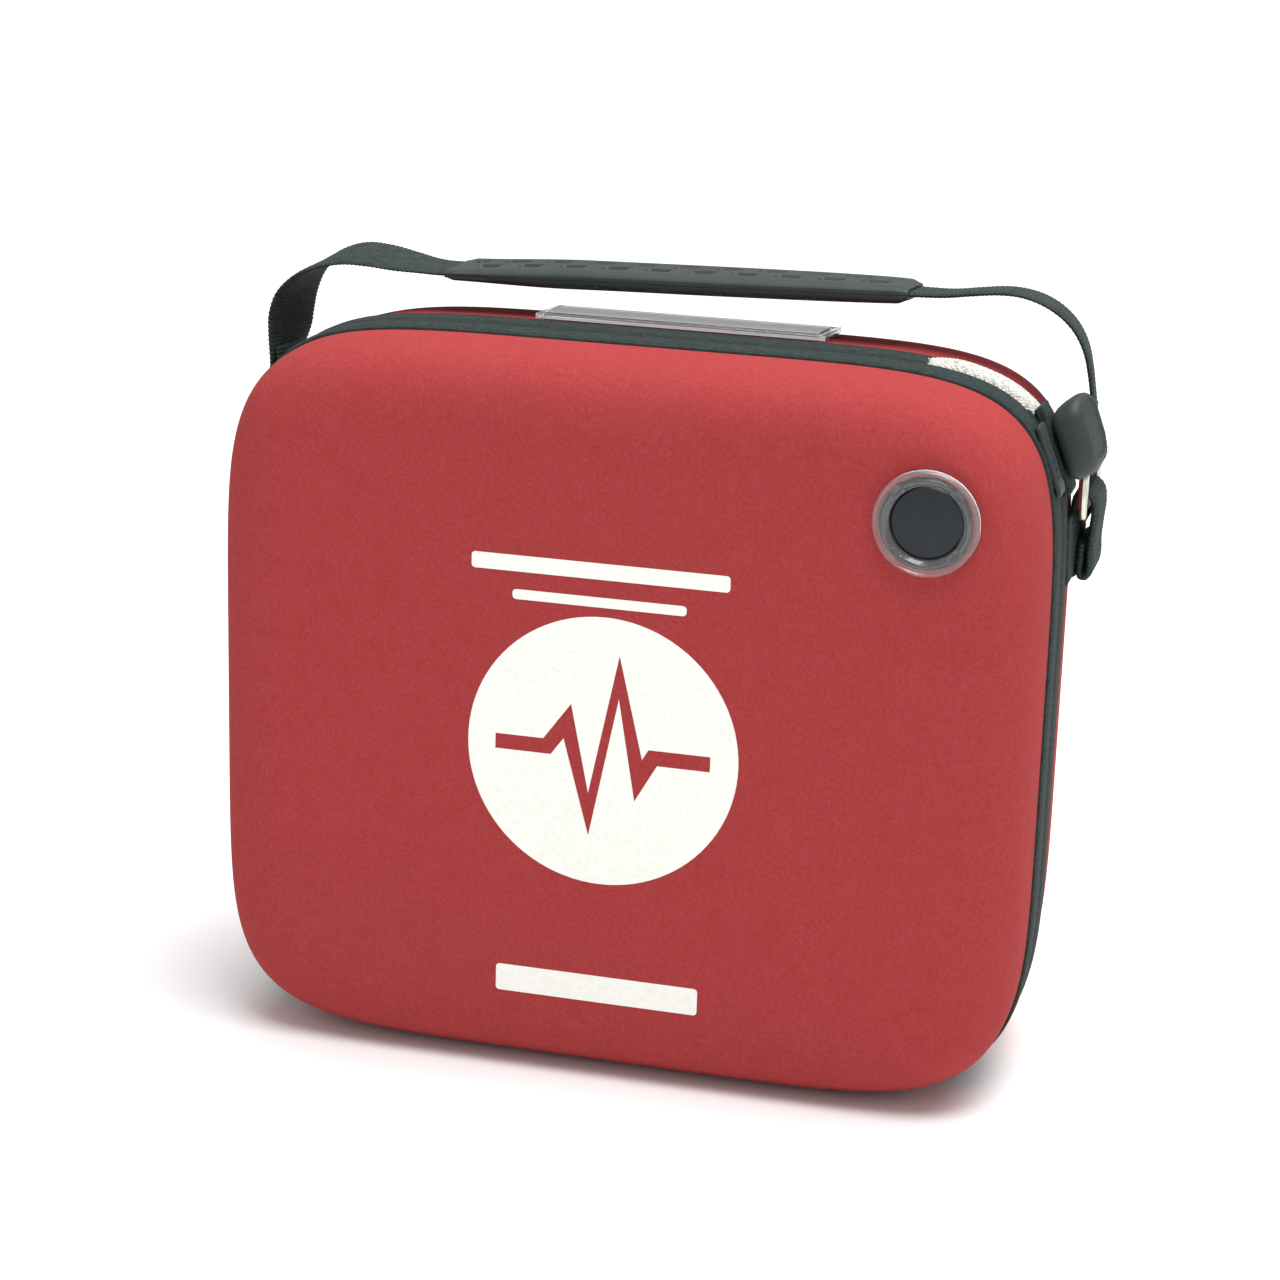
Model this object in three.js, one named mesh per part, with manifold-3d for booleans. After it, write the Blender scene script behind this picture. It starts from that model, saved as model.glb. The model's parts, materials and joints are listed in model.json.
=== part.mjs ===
// Automated external defibrillator in its padded carry case, millimetres, +Z up.
// Origin: on the floor, below the middle of the bounding box. The parts are drawn from the plane
// where lid and base meet, y = 0 inside the root group, which the group then sets forward.
// -Y is the front (the lid), +Y the back (the base), +X the side of the closure tab.
import * as THREE from 'three';
import { mergeVertices } from 'three/addons/utils/BufferGeometryUtils.js';
import Module from 'manifold-3d';

const wasm = await Module();
wasm.setup();

// driving dimensions
const caseWidth = 266;
const caseHeight = 235;
const outlinePower = 6;          // superellipse exponent of the case's outline
const floorClip = 0.3;           // the outline's lowest stretch is cut flat by this much
const shellWall = 4.5;           // moulded foam with fabric outside and lining inside
const bandDepth = 14;            // front binding, from the seam to the lid's shell
const rearBandDepth = 12;
const bandBulge = 1.1;
const bandInner = -4;             // the tape folds this far inside the rim
const lidDepth = 33;             // lid's shell, from its rim to its face
const lidRound = 27;             // how far in the round edge of the face reaches
const baseDepth = 50;
const baseRound = 24;
const baseDraft = 0.045;
const gap = 0.3;                 // clearance between neighbouring pieces

const webbingWidth = 25;
const webbingThick = 1.8;
const strapY = 34;               // middle of the strap's width
const ringWire = 3.2;
const ringHalfLength = 15.5;     // to the middle of the wire
const ringLow = 184.6;           // height of the ring's lower and upper bars
const ringHigh = 201;
const ringX = 136.5;
const gripLength = 154;

const windowAt = new THREE.Vector3(98.5, 0, 195.5);
const windowOuter = 16.4;
const windowBarrel = 14.4;
const windowBore = 11.4;

const unitCentre = new THREE.Vector3(22, 0, 117.5);
const unitWidth = 188;
const unitHeight = 206;
const unitCorner = 32;
const unitFront = -20;
const unitBack = 51;
const unitSplit = 15;
const unitWall = 2.6;

const seamY = 0;
const lidRimY = seamY - bandDepth - gap;
const lidFaceY = lidRimY - lidDepth;
const baseRimY = rearBandDepth + gap;
const baseFaceY = baseRimY + baseDepth;
const halfWidth = caseWidth / 2;
const middleZ = caseHeight / 2;

// materials
const finish = (color, roughness, metalness = 0) =>
  new THREE.MeshStandardMaterial({ color, roughness, metalness });
const redFabric = finish(0xa94444, 0.9);
const blackFabric = finish(0x343e3d, 0.85);
const whiteKnit = finish(0xeeeeea, 0.95);
const blackRubber = finish(0x3a4040, 0.6);
const nickel = finish(0xc9c6bd, 0.3, 1);
const clearPlastic = finish(0xdfe6ea, 0.15);
const darkLens = finish(0x333d45, 0.2);
const foamGrey = finish(0x3a3c3e, 0.95);
const cardWhite = finish(0xf2f2ee, 0.6);
const unitPlastic = finish(0xb9bec2, 0.5);
const unitDark = finish(0x4a5056, 0.55);
const boardGreen = finish(0x1f5a3a, 0.5);
const partBlack = finish(0x1c1c1e, 0.5);
const copper = finish(0xb0683a, 0.35, 1);
const steel = finish(0x9a9c9f, 0.35, 1);
const signalGreen = finish(0x2f8f4e, 0.45);
const signalBlue = finish(0x2a62a8, 0.45);
const signalOrange = finish(0xe2701c, 0.45);

// The meeting plane lies a little in front of the bounding box's middle, where the origin is.
const seamSetback = 6.4;
const root = new THREE.Group();
root.position.y = -seamSetback;

// helpers
function add(name, geometry, material, parent = root) {
  const mesh = new THREE.Mesh(geometry, material);
  mesh.name = name;
  parent.add(mesh);
  return mesh;
}

// A point on the case's outline, at parameter t in turns, moved out by offset, in the plane y.
// Points gather towards the corners. lowOffset moves the lower half by its own amount.
function outlinePoint(t, y, offset, lowOffset = offset) {
  const angle = t * 2 * Math.PI;
  const polar = angle + 0.14 * Math.sin(4 * angle);
  const c = Math.cos(polar);
  const s = Math.sin(polar);
  const halfHeight = middleZ + (s < 0 ? lowOffset + floorClip : offset);
  const wide = Math.abs(c / (halfWidth + offset)) ** outlinePower;
  const high = Math.abs(s / halfHeight) ** outlinePower;
  const radius = (wide + high) ** (-1 / outlinePower);
  return new THREE.Vector3(radius * c, y, Math.max(middleZ + radius * s, 0));
}

function outlineRing(count, y, offset, lowOffset) {
  const ring = [];
  for (let i = 0; i < count; i += 1) {
    ring.push(outlinePoint(i / count, y, offset, lowOffset));
  }
  return ring;
}

function signedVolume(vertices, triangles) {
  let total = 0;
  for (const [a, b, c] of triangles) {
    total += vertices[a].dot(vertices[b].clone().cross(vertices[c])) / 6;
  }
  return total;
}

// Joins rings of equal count into one closed body, capped at both ends or looped on itself.
function stitch(rings, loop = false) {
  const count = rings[0].length;
  const vertices = rings.flat();
  const triangles = [];
  const last = loop ? rings.length : rings.length - 1;
  for (let j = 0; j < last; j += 1) {
    const here = j * count;
    const next = ((j + 1) % rings.length) * count;
    for (let i = 0; i < count; i += 1) {
      const k = (i + 1) % count;
      triangles.push([here + i, here + k, next + k]);
      triangles.push([here + i, next + k, next + i]);
    }
  }
  if (!loop) {
    for (const [j, flip] of [[0, true], [rings.length - 1, false]]) {
      const centre = new THREE.Vector3();
      rings[j].forEach((p) => centre.addScaledVector(p, 1 / count));
      const hub = vertices.push(centre) - 1;
      for (let i = 0; i < count; i += 1) {
        const a = j * count + i;
        const b = j * count + ((i + 1) % count);
        triangles.push(flip ? [hub, b, a] : [hub, a, b]);
      }
    }
  }
  const inward = signedVolume(vertices, triangles) < 0;
  const geometry = new THREE.BufferGeometry();
  geometry.setFromPoints(vertices);
  geometry.setIndex(triangles.flatMap(([a, b, c]) => (inward ? [a, c, b] : [a, b, c])));
  return geometry;
}

function toSolid(geometry) {
  const bare = geometry.clone();
  bare.deleteAttribute('normal');
  bare.deleteAttribute('uv');
  const merged = mergeVertices(bare, 1e-4);
  return new wasm.Manifold(new wasm.Mesh({
    numProp: 3,
    vertProperties: new Float32Array(merged.attributes.position.array),
    triVerts: new Uint32Array(merged.index.array),
  }));
}

function fromSolid(solid) {
  const mesh = solid.getMesh();
  const geometry = new THREE.BufferGeometry();
  geometry.setAttribute('position', new THREE.BufferAttribute(mesh.vertProperties.slice(), 3));
  geometry.setIndex(new THREE.BufferAttribute(mesh.triVerts.slice(), 1));
  return geometry;
}

function cut(geometry, tools) {
  let solid = toSolid(geometry);
  for (const tool of tools) {
    solid = solid.subtract(toSolid(tool));
  }
  return fromSolid(solid);
}

function join(geometries) {
  let solid = toSolid(geometries[0]);
  for (const other of geometries.slice(1)) {
    solid = solid.add(toSolid(other));
  }
  return fromSolid(solid);
}

function boxBetween(low, high) {
  const size = high.map((v, i) => v - low[i]);
  return new THREE.BoxGeometry(...size).translate(...low.map((v, i) => v + size[i] / 2));
}

// A flat shape drawn in X and Z, made solid from y0 to y1.
function plateY(shape, y0, y1, curveSegments = 6) {
  const depth = y1 - y0;
  const geometry = new THREE.ExtrudeGeometry(shape, { depth, bevelEnabled: false, curveSegments });
  return geometry.rotateX(Math.PI / 2).translate(0, y1, 0);
}

function roundedRect(shape, cx, cz, width, height, r) {
  const x0 = cx - width / 2;
  const x1 = cx + width / 2;
  const z0 = cz - height / 2;
  const z1 = cz + height / 2;
  shape.moveTo(x0 + r, z0);
  shape.lineTo(x1 - r, z0);
  shape.absarc(x1 - r, z0 + r, r, -Math.PI / 2, 0, false);
  shape.lineTo(x1, z1 - r);
  shape.absarc(x1 - r, z1 - r, r, 0, Math.PI / 2, false);
  shape.lineTo(x0 + r, z1);
  shape.absarc(x0 + r, z1 - r, r, Math.PI / 2, Math.PI, false);
  shape.lineTo(x0, z0 + r);
  shape.absarc(x0 + r, z0 + r, r, Math.PI, Math.PI * 1.5, false);
  return shape;
}

function roundedPlate(cx, cz, width, height, r, y0, y1, curveSegments = 4) {
  return plateY(roundedRect(new THREE.Shape(), cx, cz, width, height, r), y0, y1, curveSegments);
}

function discY(x, z, radius, y0, y1, segments = 24) {
  return new THREE.CylinderGeometry(radius, radius, y1 - y0, segments).translate(x, (y0 + y1) / 2, z);
}

// A ring of revolution about an axis along Y, from a closed profile of [radius, y] pairs.
function ringY(x, z, profile, segments = 32) {
  const points = [...profile, profile[0]].map(([r, y]) => new THREE.Vector2(r, y));
  return new THREE.LatheGeometry(points, segments).translate(x, 0, z);
}

// A section of [y, offset] pairs carried along the outline from turn t0 to turn t1.
function alongOutline(section, t0, t1, steps) {
  const rings = [];
  for (let i = 0; i <= steps; i += 1) {
    const t = t0 + ((t1 - t0) * i) / steps;
    rings.push(section.map(([y, offset]) => outlinePoint(t, y, offset)));
  }
  return stitch(rings);
}

// the two moulded shells
const shellCount = 80;

// How far a shell has drawn in at a share of its depth, with the edge rounded by a power curve.
const roundedIn = (share, reach, power) => reach * (1 - (1 - share ** power) ** (1 / power));

function shellRings(rimY, direction, depth, reach, power, draft, inset, steps) {
  const rings = [];
  for (let i = 0; i <= steps; i += 1) {
    const share = Math.sin((i / steps) * (Math.PI / 2)) ** (2 / power);
    const round = roundedIn(Math.min(share, 1), reach, power);
    const side = -inset - round - draft * share * depth;
    rings.push(outlineRing(shellCount, rimY + direction * share * depth, side, -inset - round));
  }
  return rings;
}

function shell(rimY, direction, depth, reach, power, draft) {
  const outer = shellRings(rimY, direction, depth, reach, power, draft, 0, 7);
  const inner = shellRings(rimY, direction, depth - shellWall, reach - 2, power, draft, shellWall, 5);
  return stitch([...outer.reverse(), ...inner]);
}

const lidHole = discY(windowAt.x, windowAt.z, windowBarrel + gap, lidFaceY - 5, lidFaceY + 12, 40);
add('front_shell', cut(shell(lidRimY, -1, lidDepth, lidRound, 3, 0), [lidHole]), redFabric);
add('rear_shell', shell(baseRimY, 1, baseDepth, baseRound, 4, baseDraft), redFabric);

// bindings and the knit edge roll
function bandSection(y0, y1) {
  const third = (y1 - y0) / 4;
  return [
    [y0, bandInner],
    [y0, 0],
    [y0 + third * 0.5, bandBulge * 0.75],
    [y0 + third * 2, bandBulge],
    [y1 - third * 0.5, bandBulge * 0.75],
    [y1, 0],
    [y1, bandInner],
  ];
}
const rollStart = 0.103;         // the roll's stretch of the outline, in turns from +X
const rollEnd = 0.166;
const bandSteps = 72;
const frontSection = bandSection(seamY - bandDepth, seamY - gap);
const frontRings = [];
for (let i = 0; i < shellCount; i += 1) {
  frontRings.push(frontSection.map(([y, offset]) => outlinePoint(i / shellCount, y, offset)));
}
add('front_binding', stitch(frontRings, true), blackFabric);
const rearSection = bandSection(seamY + gap, rearBandDepth);
const rearStart = rollEnd + 0.001;
add('rear_binding', alongOutline(rearSection, rearStart, 1 + rollStart - 0.001, bandSteps), blackFabric);

const roll = { y: 6.15, offset: -1.2, halfDepth: 5.7, halfHeight: 4.2, sides: 10 };
const rollSection = [];
for (let i = 0; i < roll.sides; i += 1) {
  const angle = (i / roll.sides) * 2 * Math.PI;
  rollSection.push([roll.y + roll.halfDepth * Math.cos(angle),
    roll.offset + roll.halfHeight * Math.sin(angle)]);
}
add('edge_roll', alongOutline(rollSection, rollStart, rollEnd, 14), whiteKnit);

// fabric hinge down the left side
const leafInner = bandBulge + gap;
const leafOuter = leafInner + 0.7;
const leafTurns = [0.44, 0.56];  // stretch of the outline that the hinge covers
const leafReach = 11;            // from the meeting plane to a leaf's far edge
const leafGap = 0.6;             // from the meeting plane to its near edge
function hingeLeaf(y0, y1) {
  const section = [[y0, leafInner], [y0, leafOuter], [y1, leafOuter], [y1, leafInner]];
  return alongOutline(section, ...leafTurns, 8);
}
add('hinge_leaf_lid', hingeLeaf(-leafReach, -leafGap), blackFabric);
add('hinge_leaf_base', hingeLeaf(leafGap, leafReach), blackFabric);

// window in the lid
const bezelFront = lidFaceY - 2.2;
const clipFront = lidFaceY + shellWall + 3.9;
const bezelBack = clipFront + 1.8;
add('window_bezel', ringY(windowAt.x, windowAt.z, [
  [windowBore, bezelFront + 1],
  [windowBore + 1.2, bezelFront],
  [windowOuter - 1.4, bezelFront],
  [windowOuter, bezelFront + 1],
  [windowOuter, lidFaceY - gap],
  [windowBarrel, lidFaceY - gap],
  [windowBarrel, bezelBack],
  [windowBore, bezelBack],
]), clearPlastic);
add('window_lens',
  discY(windowAt.x, windowAt.z, windowBore - gap, lidFaceY + 0.4, lidFaceY + 2, 32), darkLens);
add('window_clip', ringY(windowAt.x, windowAt.z, [
  [windowBarrel + gap, clipFront],
  [windowBarrel + 2.4, clipFront],
  [windowBarrel + 2.4, bezelBack],
  [windowBarrel + gap, bezelBack],
]), clearPlastic);

// quick guide card held flat inside the lid
const lidInnerY = lidFaceY + shellWall;
const guide = { x: -22, z: 112, width: 150, height: 110, corner: 4, thick: 0.6 };
const pocketRim = 4;             // how far the pocket's frame reaches past the card
const pocketThick = 1.1;
add('guide_card', roundedPlate(guide.x, guide.z, guide.width, guide.height, guide.corner,
  lidInnerY + gap, lidInnerY + gap + guide.thick), cardWhite);
const pocketFrame = roundedRect(new THREE.Shape(), guide.x, guide.z, guide.width + 2 * pocketRim,
  guide.height + 2 * pocketRim, guide.corner + 2);
pocketFrame.holes.push(roundedRect(new THREE.Path(), guide.x, guide.z, guide.width + 1,
  guide.height + 1, guide.corner));
add('guide_pocket', plateY(pocketFrame, lidInnerY + gap, lidInnerY + gap + pocketThick, 4), clearPlastic);

// closure tab at the upper right corner
const tabStart = 0.07;           // in turns, like the roll's stretch
const tabEnd = 0.1;
const tabRootY = -2;
const tabTipY = 16;
const tabUnder = bandBulge + 3.2;
function tabSection(y0, y1, low, high) {
  return [[y0, low], [y0, high], [y1, high], [y1, low]];
}
add('tab_root', alongOutline(tabSection(-12, tabRootY - gap, bandBulge + gap, bandBulge + 1.5),
  tabStart, tabEnd, 6), blackFabric);
add('closure_tab', alongOutline([
  [tabRootY, tabUnder],
  [tabRootY, tabUnder + 2.2],
  [tabRootY + 2.5, tabUnder + 4.2],
  [tabTipY - 3, tabUnder + 7],
  [tabTipY, tabUnder + 6.6],
  [tabTipY, tabUnder + 3.4],
], tabStart, tabEnd, 6), blackRubber);
add('loop_patch', alongOutline(tabSection(0.8, 12, bandBulge + gap, tabUnder - gap),
  tabStart - 0.004, tabEnd, 6), blackFabric);

// side loops, rings, strap and grip
const slotHalf = ringWire / 2 + gap;
const loopRadius = slotHalf + webbingThick;
const slotLow = ringLow - 6;
const slotHigh = ringLow + 6;
const tailLow = 163.5;

function anchorShape(side) {
  const x = ringX * side;
  const shape = new THREE.Shape();
  shape.moveTo(x - loopRadius, tailLow + 2);
  shape.lineTo(x - loopRadius + 2, tailLow);
  shape.lineTo(x + loopRadius - 2, tailLow);
  shape.lineTo(x + loopRadius, tailLow + 2);
  shape.lineTo(x + loopRadius, slotHigh - slotHalf);
  shape.absarc(x, slotHigh - slotHalf, loopRadius, 0, Math.PI, false);
  const slot = new THREE.Path();
  slot.moveTo(x + slotHalf, slotLow + slotHalf);
  slot.lineTo(x + slotHalf, slotHigh - slotHalf);
  slot.absarc(x, slotHigh - slotHalf, slotHalf, 0, Math.PI, false);
  slot.lineTo(x - slotHalf, slotLow + slotHalf);
  slot.absarc(x, slotLow + slotHalf, slotHalf, Math.PI, 2 * Math.PI, false);
  shape.holes.push(slot);
  return shape;
}

// A rectangular wire ring with round corners, standing in the plane x.
function wireRing(x) {
  const corner = 3.5;
  const lowY = strapY - ringHalfLength;
  const highY = strapY + ringHalfLength;
  const centres = [[highY - corner, ringHigh - corner, 0], [lowY + corner, ringHigh - corner, 1],
    [lowY + corner, ringLow + corner, 2], [highY - corner, ringLow + corner, 3]];
  const rings = [];
  for (const [y, z, quarter] of centres) {
    for (let i = 0; i <= 3; i += 1) {
      const turn = (quarter + i / 3) * (Math.PI / 2);
      const out = new THREE.Vector3(0, Math.cos(turn), Math.sin(turn));
      const middle = new THREE.Vector3(x, y, z).addScaledVector(out, corner);
      const section = [];
      for (let k = 0; k < 8; k += 1) {
        const around = (k / 8) * 2 * Math.PI;
        const p = middle.clone().addScaledVector(out, (ringWire / 2) * Math.cos(around));
        p.x += (ringWire / 2) * Math.sin(around);
        section.push(p);
      }
      rings.push(section);
    }
  }
  return stitch(rings, true);
}

for (const [label, side] of [['left', -1], ['right', 1]]) {
  const anchor = plateY(anchorShape(side), strapY - webbingWidth / 2, strapY + webbingWidth / 2);
  add(`side_loop_${label}`, anchor, blackFabric);
  add(`strap_ring_${label}`, wireRing(ringX * side), nickel);
}

// The strap's middle line over the top, from the left ring to the right one: x, z, and the
// webbing's twist about its own line in degrees.
const strapStations = [
  [-137.0, 213, -4], [-136.5, 217, -9], [-135.8, 222, -13], [-135.2, 228, -15], [-133.2, 234.6, -12],
  [-128.6, 241, -5], [-121.5, 246.2, 3], [-113, 248.8, 6.5], [-104, 248.4, 6], [-95, 247.2, 3.5],
  [-86, 246.1, 0], [-77, 245.9, -1.5], [-50, 246.7, -2.5], [-20, 247.7, -3], [10, 248.5, -3],
  [40, 249.3, -3.5], [65, 249.9, -5], [78, 250.1, -7], [88, 250.4, -9], [97, 251.6, -9.5],
  [105, 252.5, -9.5], [112, 252.2, -9.5], [118.5, 250.4, -9.5], [124.5, 247, -9.5], [129.3, 242.2, -9],
  [132.6, 236, -8], [134.4, 229, -7], [135.6, 222, -6], [136.6, 215, -3], [137.0, 212, -1],
];
const strapCurve = new THREE.CatmullRomCurve3(
  strapStations.map(([x, z, twist]) => new THREE.Vector3(x, z, twist)), false, 'catmullrom', 0.5);

// Middle, width direction and thickness direction of the strap at a share of the curve.
function strapFrame(share) {
  const here = strapCurve.getPoint(share);
  const before = strapCurve.getPoint(Math.max(share - 0.002, 0));
  const after = strapCurve.getPoint(Math.min(share + 0.002, 1));
  const along = new THREE.Vector2(after.x - before.x, after.y - before.y).normalize();
  const flat = new THREE.Vector3(-along.y, 0, along.x);
  const twist = THREE.MathUtils.degToRad(here.z);
  const across = new THREE.Vector3(0, Math.cos(twist), 0).addScaledVector(flat, Math.sin(twist));
  const out = flat.clone().multiplyScalar(Math.cos(twist));
  out.y -= Math.sin(twist);
  return { middle: new THREE.Vector3(here.x, strapY, here.y), across, out };
}

// A section of [width, height] pairs carried along the strap between two shares of its curve.
function alongStrap(section, share0, share1, steps) {
  const rings = [];
  for (let i = 0; i <= steps; i += 1) {
    const { middle, across, out } = strapFrame(share0 + ((share1 - share0) * i) / steps);
    rings.push(section(i / steps).map(([w, h]) =>
      middle.clone().addScaledVector(across, w).addScaledVector(out, h)));
  }
  return stitch(rings);
}

// The fold of the strap's end round the ring's upper bar, with its two layers sewn above it.
function strapEye(x) {
  const shape = new THREE.Shape();
  shape.moveTo(x + webbingThick, ringHigh + 16);
  shape.lineTo(x - webbingThick, ringHigh + 16);
  shape.lineTo(x - webbingThick, ringHigh + 7);
  shape.lineTo(x - loopRadius, ringHigh + 2);
  shape.absarc(x, ringHigh, loopRadius, Math.PI, 2 * Math.PI, false);
  shape.lineTo(x + loopRadius, ringHigh + 2);
  shape.lineTo(x + webbingThick, ringHigh + 7);
  const hole = new THREE.Path();
  hole.absarc(x, ringHigh, slotHalf, 0, 2 * Math.PI, true);
  shape.holes.push(hole);
  return shape;
}

const halfWebbing = webbingWidth / 2;
const strapLow = strapY - halfWebbing;
const strapHigh = strapY + halfWebbing;
const ribbonSection = () => [
  [-halfWebbing, -webbingThick / 2], [halfWebbing, -webbingThick / 2],
  [halfWebbing, webbingThick / 2], [-halfWebbing, webbingThick / 2],
];
add('strap', join([
  alongStrap(ribbonSection, 0, 1, 72),
  plateY(strapEye(ringX), strapLow, strapHigh),
  plateY(strapEye(-ringX), strapLow, strapHigh),
]), blackFabric);

// The grip closes round the strap: a smooth lower half and a padded upper half.
const gripWidth = 30;
const gripCrown = 1.6;
const gripSide = 1;              // height of a half's upright side
const gripSlope = 4;             // width of its sloping edge
const strapRoom = webbingThick / 2 + gap;
function shareAt(x) {
  let low = 0;
  let high = 1;
  while (high - low > 1e-4) {
    const middle = (low + high) / 2;
    if (strapCurve.getPoint(middle).x < x) low = middle;
    else high = middle;
  }
  return low;
}
function gripPart(side) {
  const section = (share) => {
    const u = share * 2 - 1;
    const shoulder = strapRoom + gripSide;
    const top = shoulder + gripCrown * (1 - u ** 4);
    return [
      [-gripWidth / 2, side * strapRoom], [gripWidth / 2, side * strapRoom],
      [gripWidth / 2, side * shoulder], [gripWidth / 2 - gripSlope, side * top],
      [-gripWidth / 2 + gripSlope, side * top], [-gripWidth / 2, side * shoulder],
    ];
  };
  return alongStrap(section, shareAt(-gripLength / 2), shareAt(gripLength / 2), 16);
}
add('grip_upper', gripPart(1), blackRubber);
add('grip_lower', gripPart(-1), blackRubber);

// label holder on the top of the base
const labelTilt = -0.065;        // radians, as the base's top falls away to the back
const holderSize = [96, 25, 1.8];
const pocketSize = [91, 20.6, 1.2];
const labelSize = [90, 19.8, 0.3];
const labelGroup = new THREE.Group();
labelGroup.position.set(4.5, 27, 235.6);
labelGroup.rotation.x = labelTilt;
root.add(labelGroup);
const holder = cut(new THREE.BoxGeometry(...holderSize), [
  new THREE.BoxGeometry(...pocketSize).translate(0, 0, 0.6),
]);
add('label_holder', holder, clearPlastic, labelGroup);
add('label_card', new THREE.BoxGeometry(...labelSize).translate(0, 0, 0.3), cardWhite, labelGroup);
add('label_cover', new THREE.BoxGeometry(...labelSize).translate(0, 0, 0.9), clearPlastic, labelGroup);

// foam in the base
const baseInnerY = baseFaceY - shellWall;
const bayX = -99;
const bayWidth = 38;
const bayHeight = 150;
const bayCorner = 8;
const trayFront = 8;
const trayBack = 40;
const padAt = { x: 8, width: 190, height: 160, corner: 30 };
const pouchFront = 2;
const pouchBack = 42;
const trayRing = [];
for (let i = 0; i < 56; i += 1) {
  const p = outlinePoint(i / 56, 0, -shellWall - 4.2);
  trayRing.push(new THREE.Vector2(p.x, p.z));
}
const trayShape = new THREE.Shape(trayRing);
trayShape.holes.push(roundedRect(new THREE.Path(), unitCentre.x, unitCentre.z, unitWidth + 2 * gap,
  unitHeight + 2 * gap, unitCorner + gap));
trayShape.holes.push(roundedRect(new THREE.Path(), bayX, middleZ, bayWidth, bayHeight, bayCorner));
add('foam_tray', plateY(trayShape, trayFront, trayBack, 5), foamGrey);
add('back_pad', roundedPlate(padAt.x, middleZ, padAt.width, padAt.height, padAt.corner,
  unitBack + gap, baseInnerY - gap), foamGrey);
add('kit_pouch', roundedPlate(bayX, middleZ, bayWidth - 4, bayHeight - 6, bayCorner,
  pouchFront, pouchBack), blackFabric);

// the defibrillator's case
function unitRing(y, inset) {
  const r = unitCorner - inset;
  const ring = [];
  for (let corner = 0; corner < 4; corner += 1) {
    const middle = (corner + 0.5) * (Math.PI / 2);
    const x = unitCentre.x + Math.sign(Math.cos(middle)) * (unitWidth / 2 - unitCorner);
    const z = unitCentre.z + Math.sign(Math.sin(middle)) * (unitHeight / 2 - unitCorner);
    for (let i = 0; i <= 6; i += 1) {
      const a = (corner + i / 6) * (Math.PI / 2);
      ring.push(new THREE.Vector3(x + r * Math.cos(a), y, z + r * Math.sin(a)));
    }
  }
  return ring;
}

// An open half of the unit's case, from its rim to its closed face, with rounded edges.
function unitHalf(rimY, faceY) {
  const direction = Math.sign(faceY - rimY);
  const outer = [];
  const inner = [];
  for (let i = 0; i <= 3; i += 1) {
    const a = (i / 3) * (Math.PI / 2);
    outer.push(unitRing(faceY - direction * 8 * (1 - Math.sin(a)), 8 * (1 - Math.cos(a))));
    inner.push(unitRing(faceY - direction * (unitWall + 5.5 * (1 - Math.sin(a))),
      unitWall + 5.5 * (1 - Math.cos(a))));
  }
  outer.unshift(unitRing(rimY, 0));
  inner.unshift(unitRing(rimY, unitWall));
  return stitch([...outer.reverse(), ...inner]);
}

const cartridge = { x: 4, z: 100, width: 116, height: 88, corner: 8, depth: 19.6, proud: 1.5 };
const power = { x: -34, z: 190, radius: 12 };
const info = { x: 92, z: 150, radius: 8 };
const shock = { x: 90, z: 106, radius: 14 };
const ready = { x: windowAt.x, z: windowAt.z, radius: 5 };
const faceHole = (at, clear) =>
  discY(at.x, at.z, at.radius + clear, unitFront - 3, unitFront + unitWall + 3);
const grille = { x0: 12, x1: 44, z: 178, pitch: 5, slot: 2.4 };
const speakerSlots = [0, 1, 2, 3, 4].map((i) => {
  const z = grille.z + i * grille.pitch;
  return boxBetween([grille.x0, unitFront - 2, z], [grille.x1, unitFront + 5, z + grille.slot]);
});
const cartridgeHole = roundedPlate(cartridge.x, cartridge.z, cartridge.width + 1, cartridge.height + 1,
  8.5, unitFront - 3, unitFront + 6);
add('unit_front_case', cut(unitHalf(unitSplit - gap, unitFront), [
  cartridgeHole,
  ...[power, info, shock, ready].map((at) => faceHole(at, gap)),
  ...speakerSlots,
]), unitPlastic);
const battery = { low: [-31.5, 17, 60.5], high: [57.5, unitBack, 123.5] };
const batteryRoom = 0.5;
const batteryHole = boxBetween([battery.low[0] - batteryRoom, unitBack - 6, battery.low[2] - batteryRoom],
  [battery.high[0] + batteryRoom, unitBack + 3, battery.high[2] + batteryRoom]);
add('unit_rear_case', cut(unitHalf(unitSplit + gap, unitBack), [batteryHole]), unitDark);
const gasketShape = new THREE.Shape(unitRing(0, 3).map((p) => new THREE.Vector2(p.x, p.z)));
gasketShape.holes.push(new THREE.Path(unitRing(0, 5).map((p) => new THREE.Vector2(p.x, p.z))));
add('unit_gasket', plateY(gasketShape, unitSplit - 1, unitSplit + 1), partBlack);

// controls on the unit's face
function button(at, proud) {
  const r = at.radius;
  return ringY(at.x, at.z, [
    [0, unitFront - proud],
    [r - 1.5, unitFront - proud],
    [r - gap, unitFront - proud + 1.5],
    [r - gap, unitFront + 4.2],
    [0, unitFront + 4.2],
  ], 24);
}
add('power_button', button(power, 2.4), signalGreen);
add('info_button', button(info, 2), signalBlue);
add('shock_button', button(shock, 2.4), signalOrange);
add('ready_light', discY(ready.x, ready.z, ready.radius, unitFront + 0.2, unitFront + 6), darkLens);
const speaker = { x: 28, z: 190, cone: 18, magnet: 9, front: 5.4, rim: 9, back: 17 };
add('speaker', ringY(speaker.x, speaker.z, [
  [0, unitFront + speaker.front],
  [speaker.cone, unitFront + speaker.front],
  [speaker.cone, unitFront + speaker.rim],
  [speaker.magnet, unitFront + speaker.back],
  [0, unitFront + speaker.back],
], 24), partBlack);

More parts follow.
